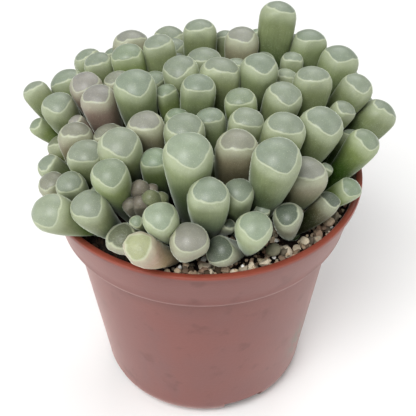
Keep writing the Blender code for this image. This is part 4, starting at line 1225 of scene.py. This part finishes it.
def place_crown(crown, name, toes):
    """A copy of the crown under a head with several toes."""
    shape, faces = crown
    wide = max(1.6 * FOOT_SHARE * radius + 0.2 for foot, tip, radius, turn in toes)
    tall = 7.0 if name == "young_head" else CROWN_HEIGHT
    points = shape * np.array([wide, wide, tall])
    points = points + np.array([*CROWNS[name], soil_top() + SOIL_WAVE + GAP])
    count = len(points)
    values = {"line_gap": np.full(count, -9.0), "rise": np.zeros(count), "skin": points}
    # The crown takes the sage foot colour, which is partly painted shade low among the toes.
    for label in ("window_tint", "side_tint", "foot_tint"):
        values[label] = np.tile(np.array(shade_of(*TINTS["sage"][2])), (count, 1))
    return points, faces, values


def model_heads(found, materials):
    """Each head's toes, joined into one piece on their crown."""
    blank = model_blank_toe()
    crown = model_crown()
    for name, toes in found.items():
        chance = random.Random(name)
        kinds = [toe[5] for toe in HEADS[name][1]]
        copies = []
        for (foot, tip, radius, turn), plan in zip(toes, HEADS[name][1]):
            plump = radius + PLUMP * max(0.0, 0.5 * plan[3] - radius)
            if plan[5] in BUDS:
                plump = 0.5 * plan[3] * 1.08
            copies.append(draw_toe(blank, (foot, tip, plump, turn), plan[5], chance))
        if len(toes) > 1:
            copies.append(place_crown(crown, name, toes))
        old = kinds[0] in OLD
        head = join_copies(name + "_leaves", copies, materials["old_toe" if old else "toe"])
        head.data.shade_smooth()
        slot = "old_toe" if name == "fallen_toe" else "young_toe" if name == "young_head" else "toe"
        hand_in(head, slot, name)


# ---- The stage ------------------------------------------------------------------------------

# The camera: how far it looks down, in degrees, at what, from how far, and with what lens.
CAMERA_DOWN = 41.2
CAMERA_TARGET = (1.4, 0.0, POT_HEIGHT - 16.2)
CAMERA_AWAY = 270.0
LENS = 79.1

def set_stage():
    """A pale floor and soft light from above and both sides."""
    start_clean()
    bpy.ops.mesh.primitive_plane_add(size=6.0, location=(0.0, 0.0, 0.0))
    floor = bpy.context.object
    floor.name = "floor"
    material, tree, shader = new_material("floor", Roughness=0.9, Specular_IOR_Level=0.1)
    feed(tree, shader, Base_Color=shade_of(244, 244, 243))
    floor.data.materials.append(material)
    world = bpy.data.worlds.new("studio")
    world.use_nodes = True
    back = world.node_tree.nodes["Background"]
    back.inputs["Color"].default_value = (1.0, 1.0, 1.0, 1.0)
    back.inputs["Strength"].default_value = 0.24
    bpy.context.scene.world = world
    bpy.context.scene.view_settings.view_transform = "Standard"
    for name, place, size, power in (
            ("key", (-0.20, -0.44, 0.74), 0.40, 6.1),
            ("left", (-0.65, -0.15, 0.34), 0.5, 1.3),
            ("right", (0.65, -0.10, 0.34), 0.5, 1.6),
            ("back", (0.1, 0.5, 0.6), 0.5, 2.2)):
        lamp = bpy.data.lights.new(name, "AREA")
        lamp.size = size
        lamp.energy = power
        holder = bpy.data.objects.new(name, lamp)
        holder.location = place
        aim = Vector((0.0, 0.0, 0.06)) - Vector(place)
        holder.rotation_euler = aim.to_track_quat("-Z", "Y").to_euler()
        bpy.context.scene.collection.objects.link(holder)


def set_camera():
    """Looks down on the plant from in front."""
    down = math.radians(CAMERA_DOWN)
    target = Vector(CAMERA_TARGET) * MM
    lens = bpy.data.cameras.new("camera")
    lens.lens = LENS
    lens.sensor_width = 36.0
    lens.clip_start = 0.01
    camera = bpy.data.objects.new("camera", lens)
    camera.location = target + Vector((0.0, -math.cos(down), math.sin(down))) * CAMERA_AWAY * MM
    camera.rotation_euler = (math.radians(90.0) - down, 0.0, 0.0)
    bpy.context.scene.collection.objects.link(camera)
    bpy.context.scene.camera = camera


def build():
    groups = {"mottle": make_mottle_group(), "toned": make_toned_group(), "line": make_window_line_group()}
    materials = {"toe": make_toe_material(groups, "toe_flesh", 0.0),
                 "old_toe": make_toe_material(groups, "old_toe_flesh", 1.0)}
    found = settle()
    set_camera()
    model_pot(make_pot_material(groups))
    model_soil(make_soil_material(groups))
    grit = make_crumb_material(groups, "grit", 0.85, 0.35)
    model_grit(found, grit)
    model_crumbs(found, make_crumb_material(groups, "bark", 0.9, 0.4))
    for name, place in STONES.items():
        model_stone(name, place, grit)
    model_heads(found, materials)
    set_stage()


build()
